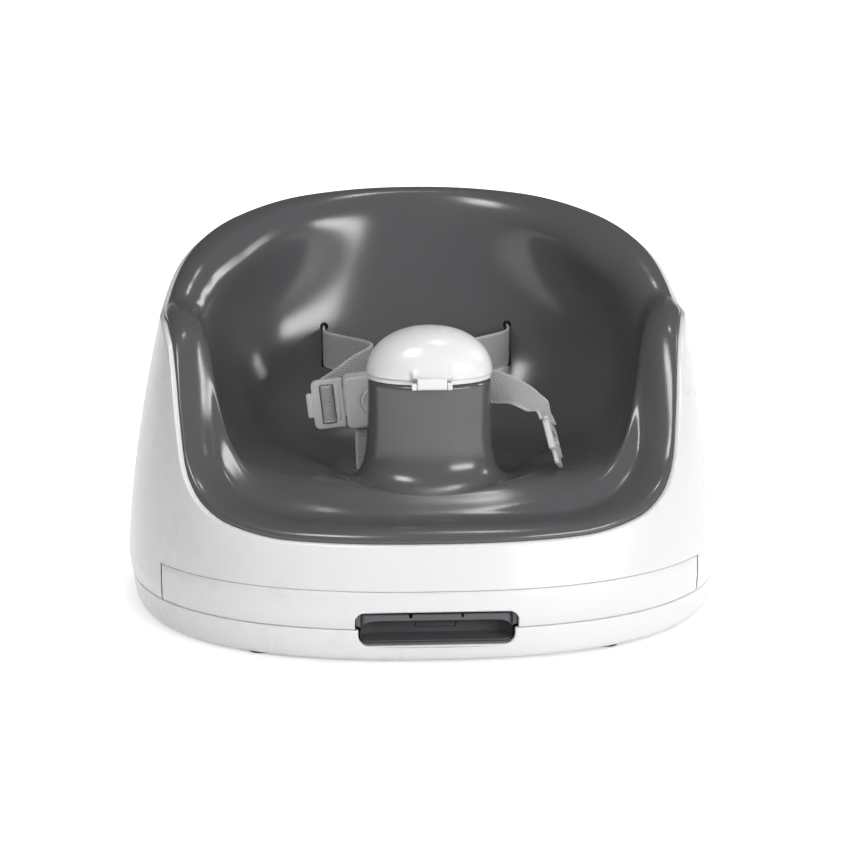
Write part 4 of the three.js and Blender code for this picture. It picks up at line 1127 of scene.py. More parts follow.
@dataclass
class BaseShells:
    """Upper and lower shell of the base, with the posts, rails and beds inside them."""

    form: BaseForm = FORM
    columns: int = 240
    opening_half_width: float = 167
    opening_top_z: float = 46
    post_radius: float = 6
    boss_radius: float = 7.5
    rim_rounding: float = 1.2
    floor_wall: float = 2.5
    notch_half_width: float = 46.9
    rail_x: tuple[float, float] = (124, 132)
    rail_y: tuple[float, float] = (-122, 58)
    rail_top_z: float = 23.65
    channel_half: float = 13.5
    channel_depth: float = 3.6
    pocket: tuple[float, float, float] = (28, 19, 11.2)
    belt_wall: float = 2.5
    bowl_steps: tuple[float, ...] = (0.1, 0.2, 0.32, 0.45, 0.58, 0.7, 0.8, 0.9)
    screws: tuple[tuple[float, float], ...] = ((-172, -10), (172, -10), (-132, 98), (132, 98))
    belts: tuple[tuple[float, float], ...] = ((14, 150), (86, 118))
    feet: tuple[tuple[float, float], ...] = ((-96, -129), (96, -129), (-96, 129), (96, 129))

    def outline(self, angles: Points, inset: float) -> list[Points]:
        """Give the rings up the skirt, over the rim and down into the bowl.

        Args:
            angles: Angles of the columns.
            inset: How far the skirt's rings are moved in.

        Returns:
            The rings.
        """
        form, rim = self.form, self.form.rim(angles)
        seam = form.seam_z + GAP / 2
        rows = [form.skirt(angles, seam + rise, turn + inset) for turn, rise in form.seam_edge]
        for t in np.linspace(0, 1, 44):
            low = seam + 0.8
            rows.append(form.skirt(angles, low + (rim - self.rim_rounding - low) * t, inset))
        for turn in (30, 60, 90):
            grow = 1 - math.cos(math.radians(turn))
            drop = self.rim_rounding * (1 - math.sin(math.radians(turn)))
            rows.append(form.skirt(angles, rim - drop, self.rim_rounding * grow + inset))
        for short, drop in ((0.8, 0), (0.25, 0.18), (0, 0.7)):
            rows.append(form.skirt(angles, rim, form.lip_wall - short))
            rows[-1][:, 2] = rim - drop
        rows += [form.bowl(angles, t) for t in (0, 0.03, 0.06, *self.bowl_steps)]
        return rows

    def post(self, at: tuple[float, float], within: Piece) -> Piece:
        """Make a screw post with its rib out to the skirt.

        Args:
            at: Its place.
            within: Copy of the filled upper shell, which clips it.

        Returns:
            The post.
        """
        x, y = at
        top = self.form.bowl_floor_z + 10
        low = self.form.seam_z + 1
        radii = (self.post_radius, self.post_radius)
        post = column("post", at, radii, (low, top))
        rib = box("rib", (x, x + math.copysign(50, x)), (y - 1.5, y + 1.5), (low + 2, top))
        carve(post, [rib], Cut.JOIN)
        copy = within.copy()
        copy.data = within.data.copy()
        bpy.context.scene.collection.objects.link(copy)
        carve(post, [copy], Cut.WITHIN)
        return carve(post, [column("stem", at, radii, (10, low + 2))], Cut.JOIN)

    def build_upper(self) -> Piece:
        """Build the upper shell.

        Returns:
            The dressed shell.
        """
        form = self.form
        angles = columns(self.columns)
        rim = form.rim(angles)
        seam = form.seam_z + GAP / 2
        top = (0, form.bowl_middle_y, form.bowl_floor_z)
        below = (0, form.bowl_middle_y, form.bowl_floor_z - form.wall)
        under = [form.beside_bowl(angles, t, -form.wall) for t in reversed(self.bowl_steps[2:])]
        ceiling = rim - 6.5 - 16 * (1 - np.exp((form.front_rim_z - rim) / 40))
        heights = [ceiling + (seam - ceiling) * t for t in np.linspace(0, 1, 9)]
        hidden = [form.skirt(angles, z, form.wall) for z in heights]
        filled = skin("filled", self.outline(angles[::3], form.wall / 2), (0, 0, seam), top)
        shell = skin("base_upper", [*under, *hidden, *self.outline(angles, 0)], below, top)
        carve(shell, [self.post(at, filled) for at in self.screws], Cut.JOIN)
        bpy.data.objects.remove(filled, do_unlink=True)
        holes = [bore(at, SCREW_HOLE, (0, form.seam_z + 12)) for at in self.screws]
        half = self.opening_half_width
        opening = box("opening", (-half, half), (-330, -40), (0, self.opening_top_z))
        carve(shell, [*holes, opening])
        return register(shell, Body.BASE, WHITE, "base_shell")

    def build_lower(self) -> Piece:
        """Build the lower shell with its belt beds, rails and pockets.

        Returns:
            The dressed shell.
        """
        form = self.form
        angles = columns(self.columns)
        seam = form.seam_z - GAP / 2

        def turned(wall: float, floor: float, s: float) -> Points:
            """Give a ring where the skirt turns under into the floor.

            Args:
                wall: How far inside the outer surface it lies.
                floor: Height that the turn ends at.
                s: Place on the turn, from the seam (0) to the floor (1).

            Returns:
                The ring.
            """
            arc = s * math.pi / 2
            z = seam + (floor - seam) * math.sin(arc)
            return form.skirt(angles, z, wall + form.turn_under * (1 - math.cos(arc)))

        floor_top = form.floor_z + self.floor_wall
        inside = [turned(form.wall, floor_top, s) for s in np.linspace(1, 0, 9)]
        edge = [form.skirt(angles, seam - fall, place_in) for place_in, fall in form.seam_edge]
        outside = [turned(0, form.floor_z, s) for s in np.linspace(0.035, 1, 22)]
        rows = [*inside, *edge, *outside]
        shell = skin("base_lower", rows, (0, 0, floor_top), (0, 0, form.floor_z))
        low = form.floor_z + 1
        wall, channel_top = self.belt_wall, form.floor_z + self.channel_depth
        pocket_x, pocket_y, pocket_top = self.pocket
        added, cut = [], []
        for y, reach in self.belts:
            bed_y = (y - self.channel_half - wall, y + self.channel_half + wall)
            cover_y = (y - pocket_y - wall, y + pocket_y + wall)
            across = (y - self.channel_half, y + self.channel_half)
            bed_x, cover_x = (-reach - wall, reach + wall), (-pocket_x - wall, pocket_x + wall)
            added.append(box("bed", bed_x, bed_y, (low, channel_top + wall)))
            added.append(box("cover", cover_x, cover_y, (low, pocket_top + wall)))
            cut.append(box("channel", (-reach, reach), across, (-1, channel_top)))
            pocket_ends = (y - pocket_y, y + pocket_y)
            cut.append(box("pocket", (-pocket_x, pocket_x), pocket_ends, (-1, pocket_top)))
            for side in (-1, 1):
                ends = (side * (reach - 15), side * reach)
                cut.append(box("exit", ends, across, (-1, form.seam_z)))
        for side in (-1, 1):
            across = (side * self.rail_x[0], side * self.rail_x[1])
            added.append(box("rail", across, self.rail_y, (low, self.rail_top_z)))
        for at in self.screws:
            added.append(column("boss", at, (self.boss_radius, self.boss_radius), (low, 9.65)))
            cut.append(bore(at, SCREW_HOLE, (-0.5, form.seam_z)))
            cut.append(bore(at, SCREW_SINK, (-1, 4.85)))
        for x, y in self.feet:
            bed_z = (-2, form.floor_z + 1)
            cut.append(plate("foot_bed", (34.7, 14.7), 7.3, bed_z, 0, Axis.Z, (x, y, 0)))
        carve(shell, added, Cut.JOIN)
        carve(shell, cut)

        def front(x: Points, z: Points) -> Points:
            """Give the shell's place along Y at the front, also where it turns under."""
            arc = np.arcsin(np.clip((seam - z) / (seam - form.floor_z), 0, 1))
            return form.front_at(x, np.minimum(z, seam), form.turn_under * (1 - np.cos(arc)))

        carve(shell, [notch_cutter(self.notch_half_width, front)])
        return register(shell, Body.BASE, WHITE, "base_floor")

    def build(self) -> None:
        """Build both shells and the feet, and dress the screws."""
        self.build_upper()
        self.build_lower()
        names = ("front_left", "front_right", "rear_left", "rear_right")
        for (x, y), name in zip(self.feet, names):
            foot = plate(f"pad_{name}", (34, 14), 6.99, (0, 2.15), 0.7, Axis.Z, (x, y, 0), 10)
            ends = [(x + shift - 0.5, x + shift + 0.5) for shift in (-9, -3, 3, 9)]
            grooves = [box("groove", across, (y - 9, y + 9), (-1, 0.4)) for across in ends]
            register(carve(foot, grooves), Body.BASE, RUBBER, f"foot_{name}")
        for i in range(4):
            dress_node(f"base_screw_{i + 1}", STEEL)


@dataclass
class StoredTray:
    """The tray: pan, front panel, cup recess, grey hub with a finger scoop, release slider."""

    form: BaseForm = FORM
    columns: int = 200
    top_z: float = 45.5
    half_width: float = 160
    back: float = 62
    lip_half_width: float = 166.5
    pan_top_z: float = 45.2
    flange_z: tuple[float, float] = (42.7, 44.8)
    wall: float = 2.6
    dish: float = 0.4
    rim: float = 13
    well_z: float = 34
    skid_z: float = 24
    rail_x: float = 128
    cup: tuple[float, float, float] = (92, -40, 34)
    cup_wall: float = 2.6
    screws: tuple[tuple[float, float], ...] = ((-35, -102), (35, -102))
    plug_at: tuple[float, float] = (0, -112)
    hub_half_width: float = 46.3
    hub_bottom_z: float = 12.6
    scoop_z: tuple[float, float] = (13.9, 27)
    scoop_radius: float = 13
    hub_front: float = -158
    hub_back: float = -92
    notch_half_width: float = 48.9
    slider_z: tuple[float, float] = (18.3, 21.8)

    def panel(self) -> Piece:
        """Make the front panel that carries on the line of the skirt.

        Returns:
            The panel, closed.
        """
        low = self.form.seam_z + GAP
        section = [
            (low, 0.9), (low + 0.1, 0.5), (low + 0.28, 0.2), (low + 0.5, 0.05), (low + 0.8, 0),
            (26, 0), (34, 0), (42, 0), (44.9, 0), (45.33, 0.17), (45.5, 0.6), (45.5, 2.7),
            (45.3, 3), (40, 3), (32, 3), (low, 3),
        ]  # fmt: skip
        half = self.lip_half_width
        ends = ((half, 0.5), (half - 0.12, 0.15), (half - 0.5, 0.0))
        places = [(-x, tight) for x, tight in ends]
        places += [(x, 0.0) for x in np.linspace(-half + 2, half - 2, 170)]
        places += reversed(ends)
        rows = []
        for x, tight in places:
            ys = [self.form.front_at(x, z, min(inset + tight, 3.0)) for z, inset in section]
            rows.append(np.array([(x, y, z) for y, (z, _) in zip(ys, section)]))
        return skin("panel", rows)

    def pan(self) -> Piece:
        """Make the pan of the tray.

        Returns:
            The pan, closed.
        """
        angles = columns(self.columns, 0.2)
        under_well, under_rim = self.well_z - self.wall, self.top_z - self.wall
        well, top = self.rim + 7, self.pan_top_z
        section = [
            (self.wall + well, under_well), (self.wall + self.rim, under_rim - 1),
            (self.wall, under_rim), (self.wall, self.skid_z), (0, self.skid_z), (0, top - 1.6),
            (0.25, top - 0.7), (0.8, top - 0.2), (1.7, top), (self.rim - 2.6, top),
            (self.rim - 1, top - 0.35), (self.rim + 0.5, top - 1.5), (self.rim + 1.6, top - 3.4),
            (well - 2.4, self.well_z + 3.4), (well - 1.2, self.well_z + 1.5),
            (well + 0.4, self.well_z + 0.35), (well + 2.4, self.well_z),
        ]  # fmt: skip
        front = self.form.depth / 2 - 2

        def ring(inset: float, z: float) -> Points:
            """Give a ring of the pan, moved in by an inset."""
            half, back = self.half_width - inset, self.back - inset
            return plan_point(angles, half, front - inset, back, 0, self.form.plan_power, z)

        rows = [ring(inset, z) for inset, z in section]
        return skin("tray", rows, (0, -50, under_well), (0, -50, self.well_z))

    def build_body(self) -> Piece:
        """Build the white body of the tray.

        Returns:
            The dressed body.
        """
        form = self.form
        tray = self.pan()
        under_well = self.well_z - self.wall
        half = self.lip_half_width
        angles = columns(self.columns)
        flange = skin("flange", [form.skirt(angles, z, 1) for z in self.flange_z])
        hollow = skin("hollow", [form.skirt(angles, z, self.rim + 14) for z in (0, 60)])
        carve(flange, [hollow])
        reach = box("reach", (-half + 0.3, half - 0.3), (-330, -60), (0, 100))
        carve(flange, [reach], Cut.WITHIN)
        added = [self.panel(), flange]
        for side in (-1, 1):
            across = (side * (self.rail_x - 2), side * (self.rail_x + 2))
            added.append(box("skid", across, (-104, self.back - 25), (self.skid_z, under_well + 1)))
        for at in self.screws:
            added.append(column("boss", at, (4.5, 4.5), (20, under_well + 1)))
        cup_x, cup_y, cup_radius = self.cup
        outside = cup_radius + self.cup_wall
        cup_z = (self.well_z - self.cup_wall - 3, self.well_z - 0.5)
        added.append(column("cup", (cup_x, cup_y), (outside, outside), cup_z, sides=96))
        carve(tray, added, Cut.JOIN)
        turn = circle(96)
        rows = []
        profile = (
            (1.4, 3), (1.2, 0.02), (0.5, -0.22), (0.1, -0.7), (-0.1, -1.6), (-0.9, -2.7),
            (-2.2, -3),
        )  # fmt: skip
        for grow, rise in profile:
            x = cup_x + (cup_radius + grow) * np.cos(turn)
            y = cup_y + (cup_radius + grow) * np.sin(turn)
            rows.append(Axis.Z.ring(x, y, self.well_z + rise))
        cut = [skin("cup", rows)]
        cut += [bore(at, SCREW_HOLE, (0, under_well - 1)) for at in self.screws]
        cut.append(notch_cutter(self.notch_half_width, form.front_at))
        carve(tray, cut)
        return register(tray, Body.TRAY, WHITE, "tray_body")

    def build_hub(self) -> Piece:
        """Build the grey hub with its finger scoop and the socket for the pommel's plug.

        Returns:
            The dressed hub.
        """
        half, top = self.hub_half_width, self.well_z - self.wall - self.dish - GAP
        length = self.hub_back - self.hub_front
        middle = self.hub_front + length / 2
        low, high = self.scoop_z
        z, at = (self.hub_bottom_z, top), (0, middle, 0)
        hub = plate("hub", (2 * half, length), 6, z, 0.6, Axis.Z, at, 8)
        band = [box("band", (-half, half), (self.hub_front + 3, self.hub_front + 8), (22, 39.5))]
        carve(hub, band, Cut.JOIN)
        turn = circle(64)
        rows = []
        reach = half - 0.5
        for share in np.sin(np.linspace(-math.pi / 2, math.pi / 2, 41)):
            radius = self.scoop_radius * max(1 - abs(share) ** 16, 0.0) ** (1 / 3) + 0.02
            y = self.hub_front + 2 + radius * np.cos(turn)
            z = high - self.scoop_radius + radius * np.sin(turn)
            # The scoop's floor rounds up into its back
            soft = low + np.maximum(z - low, 0) + 0.7 * np.exp(-np.maximum(z - low, 0) / 0.7)
            rows.append(Axis.X.ring(y, soft, reach * share))
        cut = [skin("scoop", rows)]
        cut.append(column("socket", self.plug_at, (17.5, 12.5), (0, top - 2), sides=64))
        room_z = (self.slider_z[0] - GAP, self.slider_z[1] + GAP)
        cut.append(box("room", (-12.5, 12.5), (self.hub_front + 8, -123), room_z))
        for at in self.screws:
            cut.append(column("bed", at, (4.85, 4.85), (19.65, top + 1)))
            cut += [bore(at, SCREW_HOLE, (0, 22)), bore(at, SCREW_SINK, (0, 16.35))]
        carve(hub, cut)
        added = [box("stop", (-2, 2), (-140.6, -139.4), (18.9, 22.8))]
        lip_z = (self.hub_bottom_z, low)
        added.append(plate("lip", (2 * half - 4, 8), 3.5, lip_z, 0.6, Axis.Z, (0, -156.9, 0)))
        for side in (-1, 1):
            at = (side * (half + 0.7), 0, 28)
            added.append(plate("cheek", (3, 9.6), 1, (-157.4, -150), 0.5, Axis.Y, at))
        carve(hub, added, Cut.JOIN)
        dots = [
            column("dot", (x, 29.6), (radius, radius + 0.4), (-160, -152), sides=24, axis=Axis.Y)
            for x, radius in ((-15.5, 1.2), (15.5, 0.9))
        ]
        carve(hub, dots)
        return register(hub, Body.TRAY, GREY, "tray_hub")

    def build_slider(self) -> Piece:
        """Build the release slider, whose front end lies flush in the scoop.

        Returns:
            The dressed slider.
        """
        slider = plate("slider", (24, 19.5), 1, self.slider_z, 0.4, Axis.Z, (0, -137.25, 0))
        tongue = plate("tongue", (10, 7), 0.8, self.slider_z, 0.4, Axis.Z, (0, -125, 0))
        carve(slider, [tongue], Cut.JOIN)
        at = (self.hub_front + 2, self.scoop_z[1] - self.scoop_radius)
        radius = self.scoop_radius + 0.1
        flush = column("flush", at, (radius, radius), (-20, 20), sides=96, axis=Axis.X)
        carve(slider, [box("window", (-2.6, 2.6), (-141, -131.15), (0, 60)), flush])
        return register(slider, Body.RELEASE, GREY, "tray_release_slider")

    def build(self) -> None:
        """Build the tray, its hub and the release slider, and dress its small parts."""
        self.build_body()
        self.build_hub()
        self.build_slider()
        for node in ("hub_screw_1", "hub_screw_2", "tray_release_spring"):
            dress_node(node, STEEL)


@dataclass
class SeatInsert:
    """The moulded foam insert: roll over the rim, back, wings, seat and pommel in one skin."""

    form: BaseForm = FORM
    columns: int = 216
    rows: int = 120
    passes: int = 36
    edge: float = 3.55
    pommel_y: float = -77
    pommel_top_z: float = 157
    pommel_half_width: float = 38
    pommel_half_depth: float = 25
    pommel_power: float = 2.1
    pommel_rounding: float = 2.5
    slot_x: float = 63
    slot_z: float = 143
    crotch: tuple[float, float] = (-32, -35)
    angles: tuple[float, ...] = (0, 45, 68, 90, 120, 180)

    def rim_ring(self, at: Points, insets: Sequence[float], rises: Sequence[float]) -> Points:
        """Give a ring that follows the rim.

        Args:
            at: Angles of the columns.
            insets: How far in it lies, at the stated angles.
            rises: How far above the rim it lies, at the stated angles.

        Returns:
            The ring.
        """
        inset = smooth_line(list(zip(self.angles, insets)))(folded(at))
        rise = smooth_line(list(zip(self.angles, rises)))(folded(at))
        ring = self.form.skirt(at, self.form.rim(at), inset)
        ring[:, 2] = self.form.rim(at) + rise
        return ring

    def own_ring(
        self,
        at: Points,
        half_width: float,
        front: float,
        back: float,
        middle: float,
        power: float,
        heights: Sequence[float],
    ) -> Points:
        """Give a ring with its own plan; front, back and middle are places along Y."""
        z = smooth_line(list(zip(self.angles, heights)))(folded(at))
        return plan_point(at, half_width, middle - front, back - middle, middle, power, z)

    def pommel_ring(
        self, at: Points, half_width: float, half_depth: float, heights: Sequence[float]
    ) -> Points:
        """Give a ring round the pommel, with its heights at the stated angles."""
        y, power = self.pommel_y, self.pommel_power
        return self.own_ring(at, half_width, y - half_depth, y + half_depth, y, power, heights)

    def rings(self, at: Points) -> list[Points]:
        """Give the rings over the roll, down the wall, across the seat and up the pommel.

        Args:
            at: Angles of the columns.

        Returns:
            The control rings.
        """
        edge, half, deep = self.edge, self.pommel_half_width, self.pommel_half_depth
        start = self.form.skirt(at, self.form.rim(at), edge)
        start[:, 2] = self.form.rim(at) - self.form.lip_depth + GAP
        return [
            start,
            self.rim_ring(at, [edge] * 6, [2, 2, 2, 2, 1.5, 1.5]),
            self.rim_ring(at, [5.4, 5.4, 5.4, 5.4, 5.2, 4.8], [5, 4.6, 4, 4, 3.6, 3.2]),
            self.rim_ring(at, [10, 11, 10, 9, 12, 9], [8, 6.2, 6, 6, 5, 4.4]),
            self.rim_ring(at, [17, 19, 18, 17, 23, 14], [8.6, 6.6, 5, 4.5, 2.5, 2]),
            self.rim_ring(at, [24, 27, 26, 25, 33, 20], [9.6, 7, -3, -7, -14, -12]),
            self.own_ring(at, 137, -126, 101, 0, 2.5, [83.5, 92, 124, 142, 168, 168]),
            self.own_ring(at, 120, -121, 77, -8, 2.6, [87, 95, 102, 106, 112, 112]),
            self.own_ring(at, 94, -117, 44, -25, 2.6, [90, 97.5, 98, 97, 91, 88]),
            self.own_ring(at, 68, -115.8, 0, -50, 2.3, [91, 97.5, 97, 95, 89, 86]),
            self.pommel_ring(at, 49, 36.5, [92.8, 95.5, 94.5, 93.5, 90.5, 89]),
            self.pommel_ring(at, 43, 30, [98.6, 100.5, 100, 99, 97, 96]),
            self.pommel_ring(at, 40, 26.8, [108, 109, 109, 108, 107, 107]),
            self.pommel_ring(at, 38.6, 25.2, [125] * 6),
            self.pommel_ring(at, half + 0.1, deep, [142] * 6),
            self.pommel_ring(at, half, deep, [self.pommel_top_z - self.pommel_rounding] * 6),
        ]

    def upper(self, at: Points) -> list[Points]:
        """Give the fine rows of the insert's visible side.

        Args:
            at: Angles of the columns.

        Returns:
            The rows, from the edge to the pommel's top.
        """
        control = np.stack(self.rings(at))
        count = len(control)
        step = np.sqrt(np.linalg.norm(np.diff(control, axis=0), axis=-1))
        knots = np.concatenate([np.zeros((1, len(at))), np.cumsum(step, axis=0)])
        # Half of the spacing is each column's own and half is shared, so rows stay level
        shared = knots.mean(axis=1)
        knots = 0.5 * knots / knots[-1] + 0.5 * (shared / shared[-1])[:, None]
        places = np.linspace(0, 1, self.rows)
        grid = np.empty((self.rows, len(at), 3))
        soft = np.empty((self.rows, len(at), 1))
        for i in range(len(at)):
            grid[:, i] = spline_weights(knots[:, i], places) @ control[:, i]
            wall, post = knots[[5, 6], i], knots[[count - 4, count - 3], i]
            inner = np.clip((places - wall[0]) / (wall[1] - wall[0]), 0, 1)
            outer = np.clip((post[1] - places) / (post[1] - post[0]), 0, 1)
            soft[:, i, 0] = 0.5 * inner * outer
        for _ in range(self.passes):
            around = (np.roll(grid, 1, axis=1) + np.roll(grid, -1, axis=1)) / 2
            along = grid.copy()
            along[1:-1] = (grid[:-2] + grid[2:]) / 2
            grid += soft * ((around + along) / 2 - grid)
        rows = list(grid)
        for turn in (22, 45, 67, 90):
            inset = self.pommel_rounding * (1 - math.cos(math.radians(turn)))
            z = self.pommel_top_z - self.pommel_rounding * (1 - math.sin(math.radians(turn)))
            half, deep = self.pommel_half_width - inset, self.pommel_half_depth - inset
            rows.append(self.pommel_ring(at, half, deep, [z] * 6))
        return rows

    def build(self) -> Piece:
        """Build the insert with its slots and the hole for the pommel's core.

        Returns:
            The dressed insert.
        """
        form = self.form
        at = columns(self.columns)
        under = [form.beside_bowl(at, t, GAP) for t in (0.1, 0.2, 0.32, 0.45, 0.58, 0.7, 0.8, 0.9)]
        insert = skin(
            "foam_insert",
            [*reversed(self.upper(at)), *under],
            (0, self.pommel_y, self.pommel_top_z),
            (0, form.bowl_middle_y, form.bowl_floor_z + GAP),
            angle=60,
        )
        cut = [
            column("core", (0, self.pommel_y), (27.35, 15.35), (0, 300), sides=64),
            column("foot", (0, self.pommel_y), (46.35, 29.35), (0, 75.75), sides=64),
        ]
        for side in (-1, 1):
            x = side * self.slot_x
            cut.append(plate("slot", (4, 28), 1.9, (55, 105), 0, Axis.Y, (x, 0, self.slot_z)))
            at = (x, self.slot_z + 12.6)
            cut.append(column("keyhole", at, (2.9, 2.6), (55, 103.6), sides=32, axis=Axis.Y))
            upright = (self.slot_z - 16.35, self.slot_z + 16.35)
            cut.append(box("anchor", (x - 8.35, x + 8.35), (104, 165), upright))
        x, y = self.crotch
        cut.append(plate("slot", (28, 4), 1.9, (77.5, 116), 0, Axis.Z, (x, y, 0)))
        cut.append(box("anchor", (x - 17.35, x + 17.35), (y - 8.35, y + 8.35), (0, 77.85)))
        carve(insert, cut, angle=60)
        register(insert, Body.SEAT, FOAM, "seat_insert")
        return insert


@dataclass
class PommelTop:
    """Collar with the tray's plug, domed lid and hinge on the pommel."""

    y: float = -77
    half_width: float = 38
    half_depth: float = 25
    collar_z: tuple[float, float] = (157.35, 160.15)
    lid_base_z: float = 160.5
    lid_half_width: float = 39
    lid_half_depth: float = 26.6
    lid_height: float = 29
    lid_wall: float = 2.2
    dome_power: float = 2.12
    hinge_y: float = -106
    hinge_z: float = 159.2
    pin_hole: float = 1.75
    ear_size: tuple[float, float] = (10.95, 4.25)
    ear_drop: float = 1.175
    ear_back_y: float = -101.6
    plug_radii: tuple[float, float] = (17, 12)
    plug_height: float = 20
    screw_x: float = 21.6
    hinge_half_width: float = 12.3
    knuckle_half_width: float = 9
    knuckle_radius: float = 3.3

    def oval(self, inset: float, z: float, count: int = 96) -> Points:
        """Give a ring of the collar.

        Args:
            inset: How far in from the collar's edge.
            z: Its height.
            count: Number of points.

        Returns:
            The ring.
        """
        angles = 360 * np.arange(count) / count
        half, deep = self.half_width - inset, self.half_depth - inset
        return plan_point(angles, half, deep, deep, self.y, 2.0, z)

    def pin_bore(self) -> Piece:
        """Make the cutter of the hinge pin's hole."""
        at, radii = (self.hinge_y, self.hinge_z), (self.pin_hole, self.pin_hole)
        return column("pin", at, radii, (-30, 30), sides=24, axis=Axis.X)

    def build_plug(self) -> Piece:
        """Build the collar, the plug and the hinge's ears.

        Returns:
            The dressed piece.
        """
        low, high = self.collar_z
        lower = ((0.5, low), (0.12, low + 0.14), (0, low + 0.5))
        upper = ((0, high - 0.6), (0.16, high - 0.17), (0.6, high))
        collar = skin("collar", [self.oval(inset, z) for inset, z in lower + upper])
        room = self.knuckle_half_width + GAP
        wall = self.hinge_half_width - self.knuckle_half_width - GAP
        ears = []
        for side in (-1, 1):
            middle = side * (room + wall / 2)
            depth = (middle - wall / 2, middle + wall / 2)
            front = self.hinge_y - self.knuckle_radius + GAP
            at = (0, front + self.ear_size[0] / 2, self.hinge_z - self.ear_drop)
            ear = plate("ear", self.ear_size, 1.0, depth, 0.35, Axis.X, at)
            carve(ear, [box("room", (-40, 40), (self.ear_back_y, -60), (0, low - LEAST))])
            ears.append(ear)
        plug = column("plug", (0, self.y), self.plug_radii, (low, high + self.plug_height), 1.4, 72)
        carve(collar, [*ears, plug], Cut.JOIN)
        cut = [
            box("room", (-room, room), (self.hinge_y - 5, self.hinge_y + 4.1), (0, 300)),
            self.pin_bore(),
            box("catch", (-6, 6), (self.y - 14, self.y - 9.5), (high + 9, high + 14)),
        ]
        cut += [bore((side * self.screw_x, self.y), SCREW_HOLE, (0, 300)) for side in (-1, 1)]
        carve(collar, cut)
        return register(collar, Body.SEAT, WHITE, "tray_plug")

    def dome(self, angles: Points, grow: float, share: float) -> Points:
        """Give a ring of the dome.

        Args:
            angles: Angles of its points.
            grow: How far outside the lid's surface.
            share: Place from the rim (0) to the top (1).

        Returns:
            The ring.
        """
        turn = share * math.pi / 2
        spread = math.cos(turn) ** (2 / self.dome_power)
        z = self.lid_base_z + (self.lid_height + grow) * math.sin(turn) ** (2 / self.dome_power)
        half, deep = (self.lid_half_width + grow) * spread, (self.lid_half_depth + grow) * spread
        return plan_point(angles, half, deep, deep, self.y, 2.1, z)

    def tab(self, ring: Points) -> Points:
        """Draw the front of a dome ring out into the hinge's tab.

        Args:
            ring: The ring.

        Returns:
            The ring with the tab.
        """
        x, y, z = ring.T
        rise = np.clip((z - self.lid_base_z) / 10.5, 0, 1)
        width = self.hinge_half_width + 0.2
        across = np.clip((width + 4.5 * rise - np.abs(x)) / (1.0 + 7 * rise), 0, 1)
        across = across * across * (3 - 2 * across)
        front = self.hinge_y - self.knuckle_radius
        want = (y - front) * (1 - rise) ** 2.4
        moved = np.where(y < self.y - 8, y - np.maximum(want, 0) * across, y)
        return np.stack([x, moved, z], axis=-1)

    def pad(self, ring: Points) -> Points:
        """Raise the shallow thumb pad on the dome's back.

        Args:
            ring: The ring.

        Returns:
            The ring with the pad.
        """
        x, y, z = ring.T
        side = np.clip((14 - np.abs(x)) / 2.6, 0, 1)
        high = np.clip((z - self.lid_base_z - 8) / 4, 0, 1) * np.clip((y - self.y - 6) / 5, 0, 1)
        lift = 0.45 * side * side * (3 - 2 * side) * high
        middle = np.array([0, self.y, self.lid_base_z])
        out = ring - middle
        out /= np.linalg.norm(out, axis=-1, keepdims=True) + 1e-9
        return ring + out * lift[:, None]

    def build_lid(self) -> Piece:
        """Build the domed lid with its knuckle.

        Returns:
            The dressed lid.
        """
        # The columns stand closer at the tab in front and at the thumb pad behind
        spans = ((0, 15.4, 10), (16, 21.5, 12), (23, 158, 46), (159, 180, 14))
        half_round = np.concatenate([np.linspace(*span) for span in spans])
        angles = np.concatenate([half_round, 360 - half_round[1:-1][::-1]])
        shares = np.concatenate([np.linspace(0.035, 0.5, 22), np.linspace(0.52, 0.985, 18)])
        outer = [self.dome(angles, -0.6, 0), self.dome(angles, -0.18, 0), self.dome(angles, 0, 0)]
        outer[1][:, 2] += 0.16
        outer[2][:, 2] += 0.6
        outer += [self.dome(angles, 0, share) for share in shares]
        outer = [self.pad(self.tab(ring)) for ring in outer]
        inner = [self.dome(angles, -self.lid_wall, share) for share in np.linspace(0.985, 0, 20)]
        apex = self.lid_base_z + self.lid_height
        under = (0, self.y, apex - self.lid_wall)
        lid = skin("lid", [*inner, *outer], under, (0, self.y, apex), angle=55)
        knuckle_z = (self.hinge_z - self.knuckle_radius, self.lid_base_z + 3)
        radius = self.knuckle_radius
        at, radii = (self.hinge_y, self.hinge_z), (radius + GAP, radius + GAP)
        carve(lid, [column("room", at, radii, (-13, 13), axis=Axis.X)], angle=55)
        height = knuckle_z[1] - knuckle_z[0]
        half = self.knuckle_half_width
        middle = (0, self.hinge_y, (knuckle_z[0] + knuckle_z[1]) / 2)
        knuckle = plate("knuckle", (2 * radius, height), 1.6, (-half, half), 0.3, Axis.X, middle)
        carve(lid, [knuckle], Cut.JOIN, 55)
        carve(lid, [skin("hollow", inner[::-1], None, under), self.pin_bore()], angle=50)
        return register(lid, Body.LID, LID_WHITE, "pommel_lid")

    def build(self) -> None:
        """Build the collar and the lid, and dress the hidden parts of the pommel."""
        self.build_plug()
        self.build_lid()
        dress_node("pommel_core", INNER)
        for node in ("lid_hinge_pin", "plug_screw_left", "plug_screw_right"):
            dress_node(node, STEEL)


# Points of a strap's path, each with the direction of the strap's width
Route = Sequence[tuple[Sequence[float], Sequence[float]]]


def route_arrays(route: Route) -> tuple[Points, Points]:
    """Split a route into its points and its width directions."""
    path = np.array([station[0] for station in route], float)
    return path, np.array([station[1] for station in route], float)


